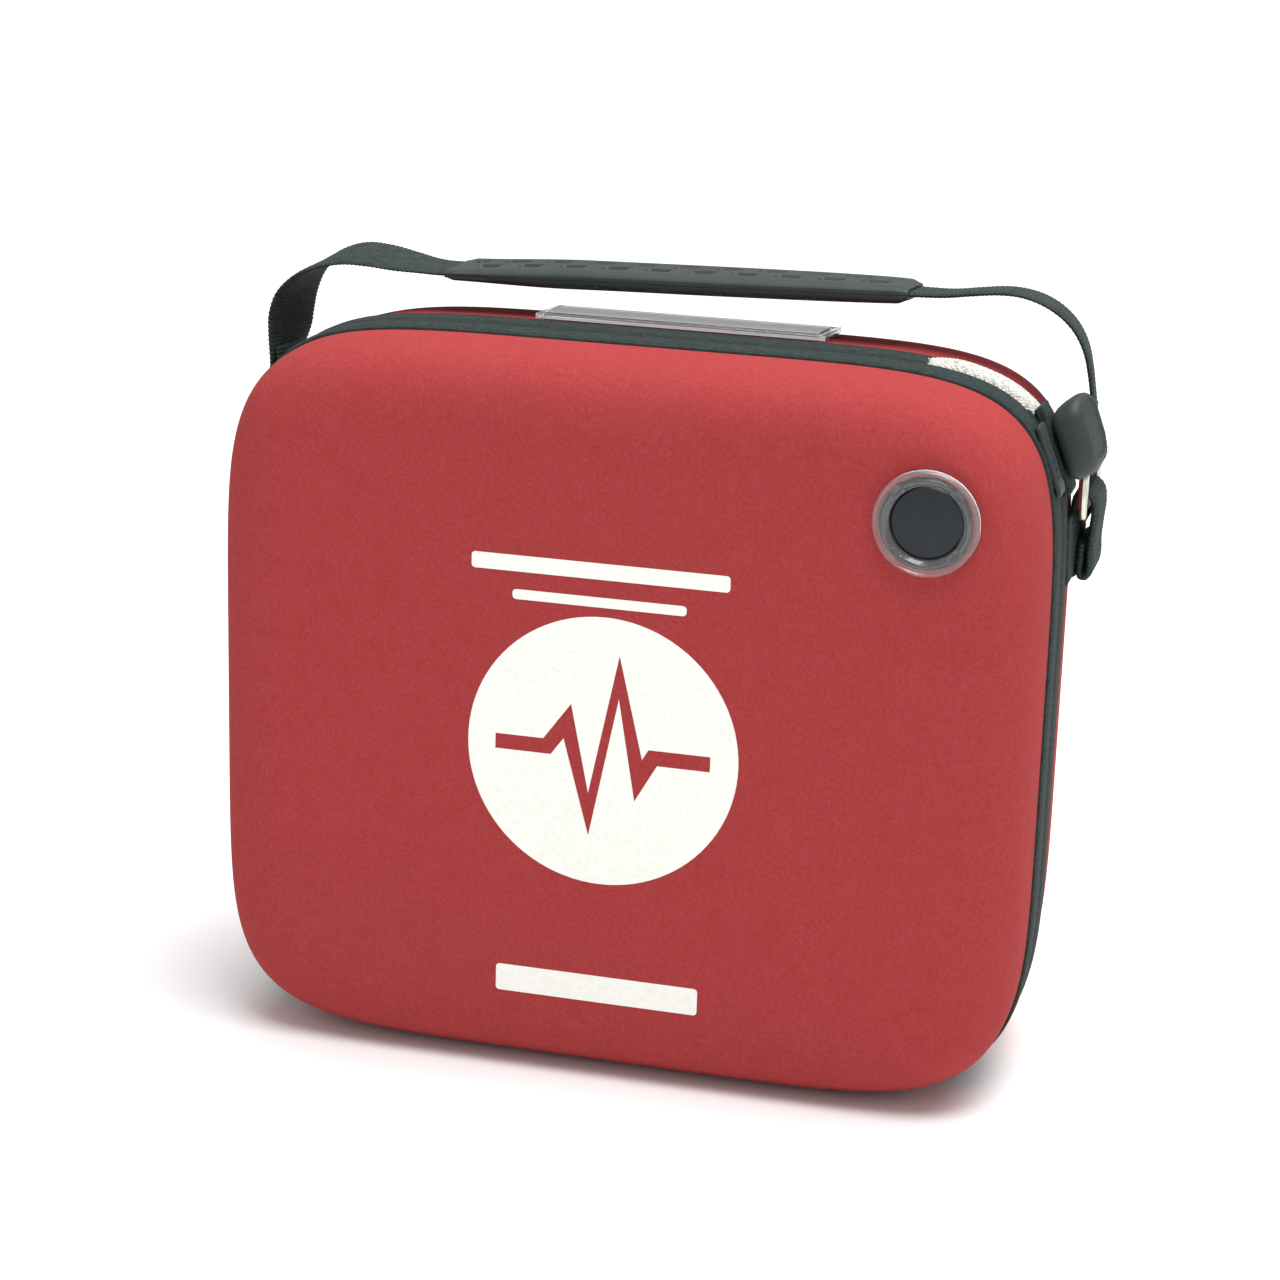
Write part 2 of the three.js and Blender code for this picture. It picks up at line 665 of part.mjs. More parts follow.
// pads cartridge in its bay
function bayCup() {
  const outer = roundedPlate(cartridge.x, cartridge.z, cartridge.width + 6, cartridge.height + 6, 10,
    unitFront + unitWall + gap, unitFront + 22);
  const inner = roundedPlate(cartridge.x, cartridge.z, cartridge.width + 1, cartridge.height + 1, 8.5,
    unitFront, unitFront + 20);
  return cut(outer, [inner]);
}
add('cartridge_bay', bayCup(), unitDark);
const recess = { half: 32, low: 120, high: 139, depth: 3 };
add('pads_cartridge', cut(roundedPlate(cartridge.x, cartridge.z, cartridge.width, cartridge.height,
  cartridge.corner, unitFront - cartridge.proud, unitFront + cartridge.depth), [
  boxBetween([cartridge.x - recess.half, unitFront - 4, recess.low],
    [cartridge.x + recess.half, unitFront + recess.depth, recess.high]),
]), unitPlastic);
const pull = { z: 130, width: 60, height: 16, corner: 4, front: -0.6, back: 1.6 };
const pullHinge = { y: unitFront + 1, z: 137, radius: 1.4 };
add('cartridge_pull', join([
  roundedPlate(cartridge.x, pull.z, pull.width, pull.height, pull.corner,
    unitFront + pull.front, unitFront + pull.back),
  new THREE.CylinderGeometry(pullHinge.radius, pullHinge.radius, pull.width, 12).rotateZ(Math.PI / 2)
    .translate(cartridge.x, pullHinge.y, pullHinge.z),
]), signalGreen);

// electronics
const board = { low: [-58, 5, 30], high: [102, 6.6, 168] };
const capacitor = { x: 62, y: 26, z: 190, radius: 16, length: 62 };
const coil = { x: -36, z: 186, bore: 6, radius: 16, front: 18, back: 36 };
const batteryLatch = { low: [6, unitBack - 5, 126.2], high: [20, unitBack - unitWall - gap, 136] };
const screw = { y: 21, radius: 2, length: 26 };
const screwPlaces = [[-56, 40], [100, 40], [-56, 195], [100, 178]];
add('main_board', boxBetween(board.low, board.high), boardGreen);
add('capacitor', new THREE.CylinderGeometry(capacitor.radius, capacitor.radius, capacitor.length, 24)
  .rotateZ(Math.PI / 2).translate(capacitor.x, capacitor.y, capacitor.z), partBlack);
add('coil', ringY(coil.x, coil.z, [[coil.bore, coil.front], [coil.radius, coil.front],
  [coil.radius, coil.back], [coil.bore, coil.back]], 24), copper);
add('battery_pack', boxBetween(battery.low, battery.high), unitDark);
add('battery_latch',
  boxBetween(batteryLatch.low, batteryLatch.high), unitPlastic);
for (const [i, [x, z]] of screwPlaces.entries()) {
  const rod = new THREE.CylinderGeometry(screw.radius, screw.radius, screw.length, 10);
  add(`unit_screw_${i + 1}`, rod.translate(x, screw.y, z), steel);
}

export default root;
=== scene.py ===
# A defibrillator in its padded carry case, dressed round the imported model.
# Metres, +Z up. -Y is the front (the lid), +Y the back (the base), +X the side of the closure tab.
import json
import math
import bmesh
import bpy
from mathutils import Matrix, Vector, geometry

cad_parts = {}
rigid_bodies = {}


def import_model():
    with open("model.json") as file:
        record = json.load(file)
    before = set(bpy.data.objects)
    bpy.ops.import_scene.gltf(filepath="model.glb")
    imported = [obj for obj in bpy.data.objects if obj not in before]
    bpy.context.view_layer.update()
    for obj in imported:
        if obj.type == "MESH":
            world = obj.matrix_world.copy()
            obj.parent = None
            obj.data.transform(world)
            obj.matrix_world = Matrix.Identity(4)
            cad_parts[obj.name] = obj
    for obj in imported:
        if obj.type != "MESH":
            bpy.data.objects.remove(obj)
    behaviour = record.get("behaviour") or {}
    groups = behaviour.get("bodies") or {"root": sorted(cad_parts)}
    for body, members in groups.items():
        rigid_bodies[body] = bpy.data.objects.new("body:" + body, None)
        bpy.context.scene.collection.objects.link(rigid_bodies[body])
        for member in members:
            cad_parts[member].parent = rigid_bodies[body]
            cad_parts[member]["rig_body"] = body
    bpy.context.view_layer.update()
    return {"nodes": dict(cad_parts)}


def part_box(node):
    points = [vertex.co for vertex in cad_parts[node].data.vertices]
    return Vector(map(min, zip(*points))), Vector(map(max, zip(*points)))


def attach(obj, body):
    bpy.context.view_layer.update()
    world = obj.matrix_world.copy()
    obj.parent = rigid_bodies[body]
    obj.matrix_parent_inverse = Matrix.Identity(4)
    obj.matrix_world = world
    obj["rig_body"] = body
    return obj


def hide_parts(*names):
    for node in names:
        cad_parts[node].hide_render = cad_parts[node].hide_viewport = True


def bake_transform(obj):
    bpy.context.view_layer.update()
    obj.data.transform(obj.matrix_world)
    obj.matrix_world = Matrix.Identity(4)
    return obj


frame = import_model()
mm = 0.001
tau = 2 * math.pi


# camera, light and floor
camera = {
    "place": Vector((0.2518, -0.9571, 0.4281)),
    "azimuth": 14.91,       # degrees round from straight ahead
    "elevation": 16.57,
    "roll": -1.72,
    "lens": 88.8,
}
light = {
    "sky": 0.53,            # even white surroundings
    "sunStrength": 2.0,
    "sunAngle": 64,         # degrees across, for soft shadows
    "sunFrom": Vector((0.16, 0.2, 1.0)),
    "panelPlace": Vector((0.35, -0.25, 1.5)),     # a softbox hung overhead
    "panelSize": (1.1, 0.6),
    "panelPower": 16,
    "floorSize": 14.0,
}


def makeCamera():
    a, e, roll = (math.radians(camera[k]) for k in ("azimuth", "elevation", "roll"))
    back = Vector((math.sin(a) * math.cos(e), -math.cos(a) * math.cos(e), math.sin(e)))
    level = Vector((math.cos(a), math.sin(a), 0))
    upright = back.cross(level)
    right = level * math.cos(roll) - upright * math.sin(roll)
    up = level * math.sin(roll) + upright * math.cos(roll)
    data = bpy.data.cameras.new("camera")
    data.lens = camera["lens"]
    data.clip_end = 50
    obj = bpy.data.objects.new("camera", data)
    turn = Matrix((right, up, back)).transposed().to_4x4()
    obj.matrix_world = Matrix.Translation(camera["place"]) @ turn
    bpy.context.scene.collection.objects.link(obj)
    bpy.context.scene.camera = obj


def makeLight():
    world = bpy.data.worlds.new("studio")
    world.use_nodes = True
    sky = world.node_tree.nodes["Background"]
    sky.inputs["Color"].default_value = (1, 1, 1, 1)
    sky.inputs["Strength"].default_value = light["sky"]
    bpy.context.scene.world = world
    data = bpy.data.lights.new("key", "SUN")
    data.energy = light["sunStrength"]
    data.angle = math.radians(light["sunAngle"])
    obj = bpy.data.objects.new("key", data)
    obj.rotation_mode = "QUATERNION"
    obj.rotation_quaternion = light["sunFrom"].to_track_quat("Z", "Y")
    bpy.context.scene.collection.objects.link(obj)
    panel = bpy.data.lights.new("softbox", "AREA")
    panel.shape = "RECTANGLE"
    panel.size, panel.size_y = light["panelSize"]
    panel.energy = light["panelPower"]
    box = bpy.data.objects.new("softbox", panel)
    box.location = light["panelPlace"]
    box.rotation_mode = "QUATERNION"
    box.rotation_quaternion = light["panelPlace"].to_track_quat("Z", "Y")
    bpy.context.scene.collection.objects.link(box)
    bpy.context.scene.view_settings.view_transform = "Standard"


makeCamera()
makeLight()
print("camera and light are set")


# materials
def linear(hexColour):
    parts = [int(hexColour[i:i + 2], 16) / 255 for i in (1, 3, 5)]
    return tuple(c / 12.92 if c <= 0.04045 else ((c + 0.055) / 1.055) ** 2.4 for c in parts) + (1.0,)


def addNode(tree, kind, settings=None, inputs=None, stops=()):
    # settings are the node's own, inputs are numbers or what feeds the socket, stops are a ramp's colours
    node = tree.nodes.new(kind)
    for key, value in (settings or {}).items():
        setattr(node, key, value)
    for key, value in (inputs or {}).items():
        if isinstance(value, bpy.types.NodeSocket):
            tree.links.new(value, node.inputs[key])
        else:
            node.inputs[key].default_value = value
    points = node.color_ramp.elements if stops else ()
    while len(points) < len(stops):
        points.new(0.5)
    for point, (position, colour) in zip(points, stops):
        point.position = position
        point.color = linear(colour)
    return node


def startMaterial(name, shader):
    mat = bpy.data.materials.new(name)
    mat.use_nodes = True
    tree = mat.node_tree
    tree.nodes.clear()
    surface = addNode(tree, "ShaderNodeBsdfPrincipled", None, shader)
    addNode(tree, "ShaderNodeOutputMaterial", None, {"Surface": surface.outputs["BSDF"]})
    return mat, tree, surface


def places(tree, source="Object", stretch=(1, 1, 1)):
    coords = addNode(tree, "ShaderNodeTexCoord")
    mapped = addNode(tree, "ShaderNodeMapping", None, {"Vector": coords.outputs[source], "Scale": stretch})
    return mapped.outputs["Vector"]


def axes(tree, source="Object"):
    # a piece's own x, y and z, or the lengths along and around it that its UV map holds
    split = addNode(tree, "ShaderNodeSeparateXYZ", None, {0: places(tree, source)})
    return split.outputs[0], split.outputs[1], split.outputs[2]


def speckle(tree, size, detail=2.0, roughness=0.5, stretch=(1, 1, 1)):
    # clouds of one size all through a piece
    where = places(tree, "Object", stretch)
    noise = {"Vector": where, "Scale": 1 / size, "Detail": detail, "Roughness": roughness}
    return addNode(tree, "ShaderNodeTexNoise", None, noise).outputs["Fac"]


def ribs(tree, coordinate, pitch, shift=0.0):
    # a sine wave from -1 to 1, one crest every pitch
    angle = addNode(tree, "ShaderNodeMath", {"operation": "MULTIPLY_ADD"},
                    {0: coordinate, 1: tau / pitch, 2: shift})
    return addNode(tree, "ShaderNodeMath", {"operation": "SINE"}, {0: angle.outputs[0]}).outputs[0]


def weighed(tree, *parts):
    # the sum of several patterns, each times its own weight
    total = None
    for pattern, weight in parts:
        if weight != 1:
            times = addNode(tree, "ShaderNodeMath", {"operation": "MULTIPLY"}, {0: pattern, 1: weight})
            pattern = times.outputs[0]
        if total is not None:
            plus = addNode(tree, "ShaderNodeMath", {"operation": "ADD"}, {0: total, 1: pattern})
            pattern = plus.outputs[0]
        total = pattern
    return total


def colourAndRelief(tree, surface, tone, stops, height=None, strength=0.0, depth=0.0, under=None):
    # one pattern runs through the colours and another, where there is one, raises the surface
    colours = addNode(tree, "ShaderNodeValToRGB", None, {"Fac": tone}, stops)
    tree.links.new(colours.outputs["Color"], surface.inputs["Base Color"])
    if height is None:
        return
    relief = addNode(tree, "ShaderNodeBump", None,
                     {"Height": height, "Strength": strength, "Distance": depth})
    if under is not None:
        tree.links.new(under, relief.inputs["Normal"])
    tree.links.new(relief.outputs["Normal"], surface.inputs["Normal"])


def makeJersey():
    # brushed polyester jersey bonded to moulded foam: matt, faintly clouded nap over fine knitted wales
    mat, tree, surface = startMaterial("brushedPolyesterJersey",
                                       {"Roughness": 0.95, "Specular IOR Level": 0.12})
    fuzz = speckle(tree, 1.1 * mm, 3.0, 0.65)
    nap = speckle(tree, 7 * mm, 3.0, 0.6)
    x, y, _ = axes(tree)
    wales = ribs(tree, weighed(tree, (x, 1), (y, 0.7)), 1.5 * mm)
    knit = addNode(tree, "ShaderNodeBump", None, {"Height": wales, "Strength": 0.15, "Distance": 0.04 * mm})
    colourAndRelief(tree, surface, weighed(tree, (fuzz, 0.8), (nap, 0.2)),
                    [(0.3, "#983434"), (0.5, "#9F3B3C"), (0.7, "#A64243")],
                    fuzz, 0.3, 0.18 * mm, knit.outputs["Normal"])
    return mat


def makeLining():
    # charcoal tricot bonded inside the foam: matt, with a fine diagonal rib
    mat, tree, surface = startMaterial("charcoalTricotLining", {"Roughness": 0.95})
    x, _, z = axes(tree)
    rib = ribs(tree, weighed(tree, (x, 1), (z, 1)), 1.1 * mm)
    colourAndRelief(tree, surface, speckle(tree, 4 * mm, 3.0), [(0.3, "#24282A"), (0.7, "#33383A")],
                    rib, 0.35, 0.12 * mm)
    return mat


def makeTape(name, dark, pale, pitch):
    # woven polyester tape: ribs across its length, packed tight, with the rib tops painted a little paler as
    # a dull highlight
    mat, tree, surface = startMaterial(name, {"Roughness": 0.85, "Specular IOR Level": 0.25})
    along, across, _ = axes(tree, "UV")
    weft = ribs(tree, along, pitch)
    warp = ribs(tree, across, pitch * 1.3, 0.8)
    weave = addNode(tree, "ShaderNodeMath", {"operation": "MULTIPLY"}, {0: weft, 1: warp}).outputs[0]
    height = weighed(tree, (weave, 0.5), (weft, 0.5))
    slub = speckle(tree, 2.4 * mm, 4.0, 0.6)
    # the tone is the rib height, a painted highlight on the rib tops, plus random slubs
    colourAndRelief(tree, surface, weighed(tree, (height, 0.16), (slub, 1)), [(0.3, dark), (0.72, pale)],
                    height, 0.5, 0.16 * mm)
    return mat


def makeKnit():
    # white knitted piping: bright loops, with the small hollows between them painted grey as shade
    mat, tree, surface = startMaterial("whiteKnitPiping", {"Roughness": 0.95, "Sheen Weight": 0.2})
    shadedHollows = speckle(tree, 1.5 * mm, 3.0, 0.7)
    colourAndRelief(tree, surface, shadedHollows, [(0.36, "#9C9C92"), (0.47, "#CFCFC7"), (0.7, "#DEDED8")],
                    shadedHollows, 0.5, 0.3 * mm)
    return mat


def makeRubber(name, dark, pale, rough):
    # moulded thermoplastic rubber: black with a spark-eroded grain, satin or matt
    mat, tree, surface = startMaterial(name, {"Specular IOR Level": 0.35})
    grain = speckle(tree, 0.7 * mm, 2.0, 0.6)
    dust = speckle(tree, 14 * mm, 4.0, 0.6)
    gloss = addNode(tree, "ShaderNodeMath", {"operation": "MULTIPLY_ADD"}, {0: grain, 1: 0.25, 2: rough})
    tree.links.new(gloss.outputs[0], surface.inputs["Roughness"])
    colourAndRelief(tree, surface, dust, [(0.3, dark), (0.75, pale)], grain, 0.3, 0.06 * mm)
    return mat


def makeMetal(name, dark, pale, rough, size):
    # plated wire or fastener: bright, with faint drawing marks that scatter the gleam
    mat, tree, surface = startMaterial(name, {"Metallic": 1.0, "Roughness": rough})
    marks = speckle(tree, size, 3.0, 0.6, (1, 1, 0.25))
    colourAndRelief(tree, surface, marks, [(0.3, dark), (0.7, pale)], marks, 0.15, 0.03 * mm)
    return mat


def makeClear():
    # clear injection-moulded polycarbonate: glossy, bends the light, with a trace of surface haze
    mat, tree, surface = startMaterial("clearPolycarbonate",
                                       {"IOR": 1.45, "Roughness": 0.03, "Transmission Weight": 0.93})
    colourAndRelief(tree, surface, speckle(tree, 5 * mm), [(0.3, "#F3F5F6"), (0.7, "#FCFDFD")])
    return mat


def makeLens():
    # smoke-tinted polycarbonate disc: near black, satin, with the faint haze of a hard coat
    mat, tree, surface = startMaterial("smokedPolycarbonate",
                                       {"IOR": 1.45, "Roughness": 0.2, "Specular IOR Level": 0.35})
    haze = speckle(tree, 7 * mm, 3.0)
    colourAndRelief(tree, surface, haze, [(0.3, "#151B20"), (0.7, "#1B2228")], haze, 0.05, 0.2 * mm)
    return mat


def makeInk():
    # white screen-printed ink: flat and chalky, broken slightly by the cloth beneath
    mat, tree, surface = startMaterial("whiteScreenInk", {"Roughness": 0.7})
    cloth = speckle(tree, 1.3 * mm, 3.0, 0.65)
    colourAndRelief(tree, surface, cloth, [(0.27, "#E8E9E0"), (0.42, "#EEF0E8"), (0.7, "#F4F5EF")],
                    cloth, 0.25, 0.15 * mm)
    return mat


def makeCard(name, dark, pale):
    # coated card: smooth, with a trace of paper tooth
    mat, tree, surface = startMaterial(name, {"Roughness": 0.5})
    tooth = speckle(tree, 2 * mm, 4.0, 0.6)
    colourAndRelief(tree, surface, tooth, [(0.3, dark), (0.7, pale)], tooth, 0.06, 0.05 * mm)
    return mat


def makeFoam():
    # closed-cell polyethylene foam: dull charcoal, pitted with cut cells, each cell painted darker towards
    # its middle as shade in the pit
    mat, tree, surface = startMaterial("closedCellFoam", {"Roughness": 0.97})
    cells = addNode(tree, "ShaderNodeTexVoronoi", None, {"Vector": places(tree), "Scale": 1 / (1.1 * mm)})
    colourAndRelief(tree, surface, cells.outputs["Distance"], [(0.1, "#2C2E30"), (0.7, "#46494B")],
                    cells.outputs["Distance"], 0.5, 0.3 * mm)
    return mat


def makePouchCloth():
    # plain-woven nylon packcloth: a fine square basket with a slight coated gleam, its raised crossings
    # painted paler and the hollows between painted darker as shade
    mat, tree, surface = startMaterial("blackNylonPackcloth", {"Roughness": 0.68})
    x, y, z = axes(tree)
    level = ribs(tree, weighed(tree, (x, 1), (y, 1)), 0.9 * mm)
    upright = ribs(tree, z, 0.9 * mm)
    weave = addNode(tree, "ShaderNodeMath", {"operation": "MULTIPLY"}, {0: level, 1: upright}).outputs[0]
    shade = addNode(tree, "ShaderNodeMath", {"operation": "MULTIPLY_ADD"}, {0: weave, 1: 0.25, 2: 0.5})
    colourAndRelief(tree, surface, shade.outputs[0], [(0.3, "#1E2224"), (0.7, "#34393B")],
                    weave, 0.45, 0.12 * mm)
    return mat


def makeMoulded(name, dark, pale, rough, grainSize=0.8 * mm):
    # moulded engineering plastic: even colour with a fine eroded texture and slight handling marks
    mat, tree, surface = startMaterial(name, {"Roughness": rough, "IOR": 1.5})
    grain = speckle(tree, grainSize, 2.0, 0.6)
    wear = speckle(tree, 22 * mm, 5.0, 0.6)
    colourAndRelief(tree, surface, wear, [(0.3, dark), (0.7, pale)], grain, 0.2, 0.05 * mm)
    return mat


def makeBoard():
    # green solder mask over glass cloth: glossy, with the routed traces showing as paler lines
    mat, tree, surface = startMaterial("greenSolderMask", {"Roughness": 0.32})
    cells = addNode(tree, "ShaderNodeTexVoronoi", {"distance": "CHEBYCHEV"},
                    {"Vector": places(tree), "Scale": 1 / (7 * mm)})
    colourAndRelief(tree, surface, cells.outputs["Distance"], [(0.42, "#17442D"), (0.5, "#2E7A4C")],
                    cells.outputs["Distance"], 0.2, 0.05 * mm)
    return mat


def makeFloor():
    # pale seamless paper: matt, with hardly any change of tone
    mat, tree, surface = startMaterial("paleSeamlessPaper", {"Roughness": 0.9})
    colourAndRelief(tree, surface, speckle(tree, 0.4), [(0.3, "#F6F6F6"), (0.7, "#FAFAFA")])
    return mat


jersey = makeJersey()
lining = makeLining()
bindingTape = makeTape("blackBindingTape", "#1E2827", "#323D3B", 1.0 * mm)
webbing = makeTape("blackPolyesterWebbing", "#222B29", "#36423F", 1.5 * mm)
pipingKnit = makeKnit()
rubber = makeRubber("satinBlackRubber", "#2A3132", "#333B3B", 0.42)
# a darker, matt copy of the rubber for the grip's dimple floors: painted shade in the hollows
dimpleShadeRubber = makeRubber("mattBlackRubberPaintedShade", "#101415", "#171C1D", 0.65)
nickelPlate = makeMetal("nickelPlatedWire", "#B4AFA4", "#D9D6CC", 0.24, 0.8 * mm)
zincPlate = makeMetal("zincPlatedSteel", "#8C8F92", "#AEB1B3", 0.32, 0.6 * mm)
copperWire = makeMetal("enamelledCopperWire", "#8E4D28", "#B97245", 0.3, 0.5 * mm)
clearPlastic = makeClear()
smokedLens = makeLens()
screenInk = makeInk()
whiteCard = makeCard("coatedWhiteCard", "#E9E9E4", "#F4F4F0")
blueCard = makeCard("paleBluePanelPrint", "#9FBCD2", "#A9C5DA")
foam = makeFoam()
packcloth = makePouchCloth()
greyAbs = makeMoulded("lightGreyTexturedPlastic", "#A4A9AE", "#ABB0B4", 0.5)
darkAbs = makeMoulded("darkGreyTexturedPlastic", "#3F454B", "#4B5157", 0.52)
blackSleeve = makeMoulded("blackShrinkSleeve", "#17171A", "#222226", 0.4)
greenPlastic = makeMoulded("greenMouldedPlastic", "#287F45", "#32934F", 0.4)
bluePlastic = makeMoulded("blueMouldedPlastic", "#24589C", "#2F69B2", 0.4)
orangePlastic = makeMoulded("orangeMouldedPlastic", "#D5661A", "#E87A28", 0.4)
thread = makeMoulded("bondedBlackThread", "#1D2423", "#2B3331", 0.7, 0.3 * mm)
solderMask = makeBoard()
print("materials are mixed")


# the case's outline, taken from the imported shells
frontLow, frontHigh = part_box("front_shell")
rearLow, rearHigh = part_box("rear_shell")
frontBandLow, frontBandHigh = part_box("front_binding")
rearBandLow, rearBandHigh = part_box("rear_binding")
case = {
    "halfWidth": frontHigh.x,
    "middle": frontHigh.z / 2,
    "seam": (frontBandHigh.y + rearBandLow.y) / 2,
    "bulge": frontBandHigh.x - frontHigh.x,
    "power": 6,             # superellipse exponent
    "bunching": 0.14,       # how far points gather towards the corners
    "floorClip": 0.3 * mm,
    "wall": 4.5 * mm,       # moulded foam between cloth and lining
    "liningReach": 2 * mm,  # the lining rounds its corners this much tighter than the cloth
    "liningSteps": (12, 8),
}


def outlinePoint(turn, y, offset, lowOffset=None):
    angle = turn * tau
    polar = angle + case["bunching"] * math.sin(4 * angle)
    c, s = math.cos(polar), math.sin(polar)
    low = offset if lowOffset is None else lowOffset
    halfHeight = case["middle"] + (low + case["floorClip"] if s < 0 else offset)
    wide = abs(c / (case["halfWidth"] + offset)) ** case["power"]
    high = abs(s / halfHeight) ** case["power"]
    radius = (wide + high) ** (-1 / case["power"])
    return Vector((radius * c, y, max(case["middle"] + radius * s, 0.0)))


# mesh tools
def makePiece(name, points, faces, mats, corners=None, paint=None, sharp=35):
    mesh = bpy.data.meshes.new(name)
    mesh.from_pydata([tuple(p) for p in points], [], faces)
    for mat in mats:
        mesh.materials.append(mat)
    if paint is not None:
        mesh.polygons.foreach_set("material_index", paint)
    if corners is not None:
        layer = mesh.uv_layers.new(name="UVMap")
        layer.data.foreach_set("uv", [value for corner in corners for value in corner])
    obj = bpy.data.objects.new(name, mesh)
    bpy.context.scene.collection.objects.link(obj)
    tidyMesh(obj, sharp)
    return obj


def tidyMesh(obj, sharp=35, merge=0.0, turnOut=True):
    work = bmesh.new()
    work.from_mesh(obj.data)
    if merge:
        bmesh.ops.remove_doubles(work, verts=work.verts, dist=merge)
    if turnOut:
        bmesh.ops.recalc_face_normals(work, faces=work.faces)
    work.to_mesh(obj.data)
    work.free()
    obj.data.shade_smooth()
    obj.data.set_sharp_from_angle(angle=math.radians(sharp))


def bakeModifiers(obj):
    layer = bpy.context.evaluated_depsgraph_get()
    fresh = bpy.data.meshes.new_from_object(obj.evaluated_get(layer), depsgraph=layer)
    obj.modifiers.clear()
    obj.data = fresh
    return obj


def sweep(rings, loopAlong=False):
    # quads between rings of equal count, with corner coordinates in metres along and around
    count = len(rings[0])
    points = [p for ring in rings for p in ring]
    along = [0.0]
    for here, after in zip(rings, rings[1:] + rings[:1]):
        along.append(along[-1] + sum((a - b).length for a, b in zip(here, after)) / count)
    around = [0.0]
    for i in range(count):
        around.append(around[-1] + (rings[0][i] - rings[0][(i + 1) % count]).length)
    faces, corners = [], []
    for j in range(len(rings) if loopAlong else len(rings) - 1):
        k = (j + 1) % len(rings)
        for i in range(count):
            n = (i + 1) % count
            faces.append((j * count + i, j * count + n, k * count + n, k * count + i))
            corners += [(along[j], around[i]), (along[j], around[i + 1]),
                        (along[j + 1], around[i + 1]), (along[j + 1], around[i])]
    if not loopAlong:
        for j in (0, len(rings) - 1):
            hub = len(points)
            points.append(sum(rings[j], Vector()) / count)
            for i in range(count):
                faces.append((hub, j * count + i, j * count + (i + 1) % count))
                corners += [(along[j], 0.0), (along[j], around[i]), (along[j], around[i + 1])]
    return points, faces, corners


def fit(obj, body, slotName, *stoodFor):
    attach(obj, body)
    if stoodFor:
        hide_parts(*stoodFor)
    return obj


def smoothPath(stations, spacing):
    # a Catmull-Rom line through the stations, with any values after x, y, z carried along
    dense = []
    last = len(stations) - 1
    for i in range(last):
        before, here, after, beyond = (stations[min(max(i + k, 0), last)] for k in (-1, 0, 1, 2))
        for step in range(24):
            t = step / 24
            dense.append([0.5 * (2 * b + (c - a) * t + (2 * a - 5 * b + 4 * c - d) * t ** 2
                          + (3 * b - a - 3 * c + d) * t ** 3)
                          for a, b, c, d in zip(before, here, after, beyond)])
    dense.append(list(stations[-1]))
    lengths = [0.0]
    for a, b in zip(dense, dense[1:]):
        lengths.append(lengths[-1] + math.dist(a[:3], b[:3]))
    count = max(2, round(lengths[-1] / spacing))
    out, k = [], 0
    for i in range(count + 1):
        target = lengths[-1] * i / count
        while k < len(lengths) - 2 and lengths[k + 1] < target:
            k += 1
        share = (target - lengths[k]) / max(lengths[k + 1] - lengths[k], 1e-9)
        out.append([a + (b - a) * share for a, b in zip(dense[k], dense[k + 1])])
    return out


def easeBetween(value, low, high):
    t = min(max((value - low) / (high - low), 0.0), 1.0)
    return t * t * (3 - 2 * t)


# Geometry Nodes: a row of stitches or teeth along every edge chain of a guide mesh
def addSocket(tree, name, kind, way="INPUT"):
    return tree.interface.new_socket(name, in_out=way, socket_type="NodeSocket" + kind)


def finishTree(tree, geometry, groupIn):
    real = addNode(tree, "GeometryNodeRealizeInstances", None, {"Geometry": geometry})
    soft = addNode(tree, "GeometryNodeSetShadeSmooth", None, {"Geometry": real.outputs["Geometry"]})
    painted = addNode(tree, "GeometryNodeSetMaterial", None,
                      {"Geometry": soft.outputs["Geometry"], "Material": groupIn.outputs["Material"]})
    addNode(tree, "NodeGroupOutput", None, {"Geometry": painted.outputs["Geometry"]})


def makeRowTree(name, boxy):
    tree = bpy.data.node_groups.new(name, "GeometryNodeTree")
    addSocket(tree, "Geometry", "Geometry")
    for label in ("Pitch", "Length", "Width", "Height"):
        addSocket(tree, label, "Float")
    addSocket(tree, "Material", "Material")
    addSocket(tree, "Geometry", "Geometry", "OUTPUT")
    given = addNode(tree, "NodeGroupInput")
    line = addNode(tree, "GeometryNodeMeshToCurve", None, {"Mesh": given.outputs["Geometry"]})
    spaced = addNode(tree, "GeometryNodeResampleCurve", {"mode": "LENGTH"},
                     {"Curve": line.outputs["Curve"], "Length": given.outputs["Pitch"]})
    tangent = addNode(tree, "GeometryNodeInputTangent")
    turn = addNode(tree, "FunctionNodeAlignRotationToVector", {"axis": "X"}, {"Vector": tangent.outputs[0]})
    if boxy:
        shape = addNode(tree, "GeometryNodeMeshCube").outputs["Mesh"]
    else:
        shape = addNode(tree, "GeometryNodeMeshUVSphere", None,
                        {"Segments": 6, "Rings": 4, "Radius": 0.5}).outputs["Mesh"]
    size = addNode(tree, "ShaderNodeCombineXYZ", None,
                   {"X": given.outputs["Length"], "Y": given.outputs["Width"], "Z": given.outputs["Height"]})
    row = addNode(tree, "GeometryNodeInstanceOnPoints", None, {
        "Points": spaced.outputs["Curve"], "Instance": shape,
        "Rotation": turn.outputs["Rotation"], "Scale": size.outputs["Vector"],
    })
    finishTree(tree, row.outputs["Instances"], given)
    return tree


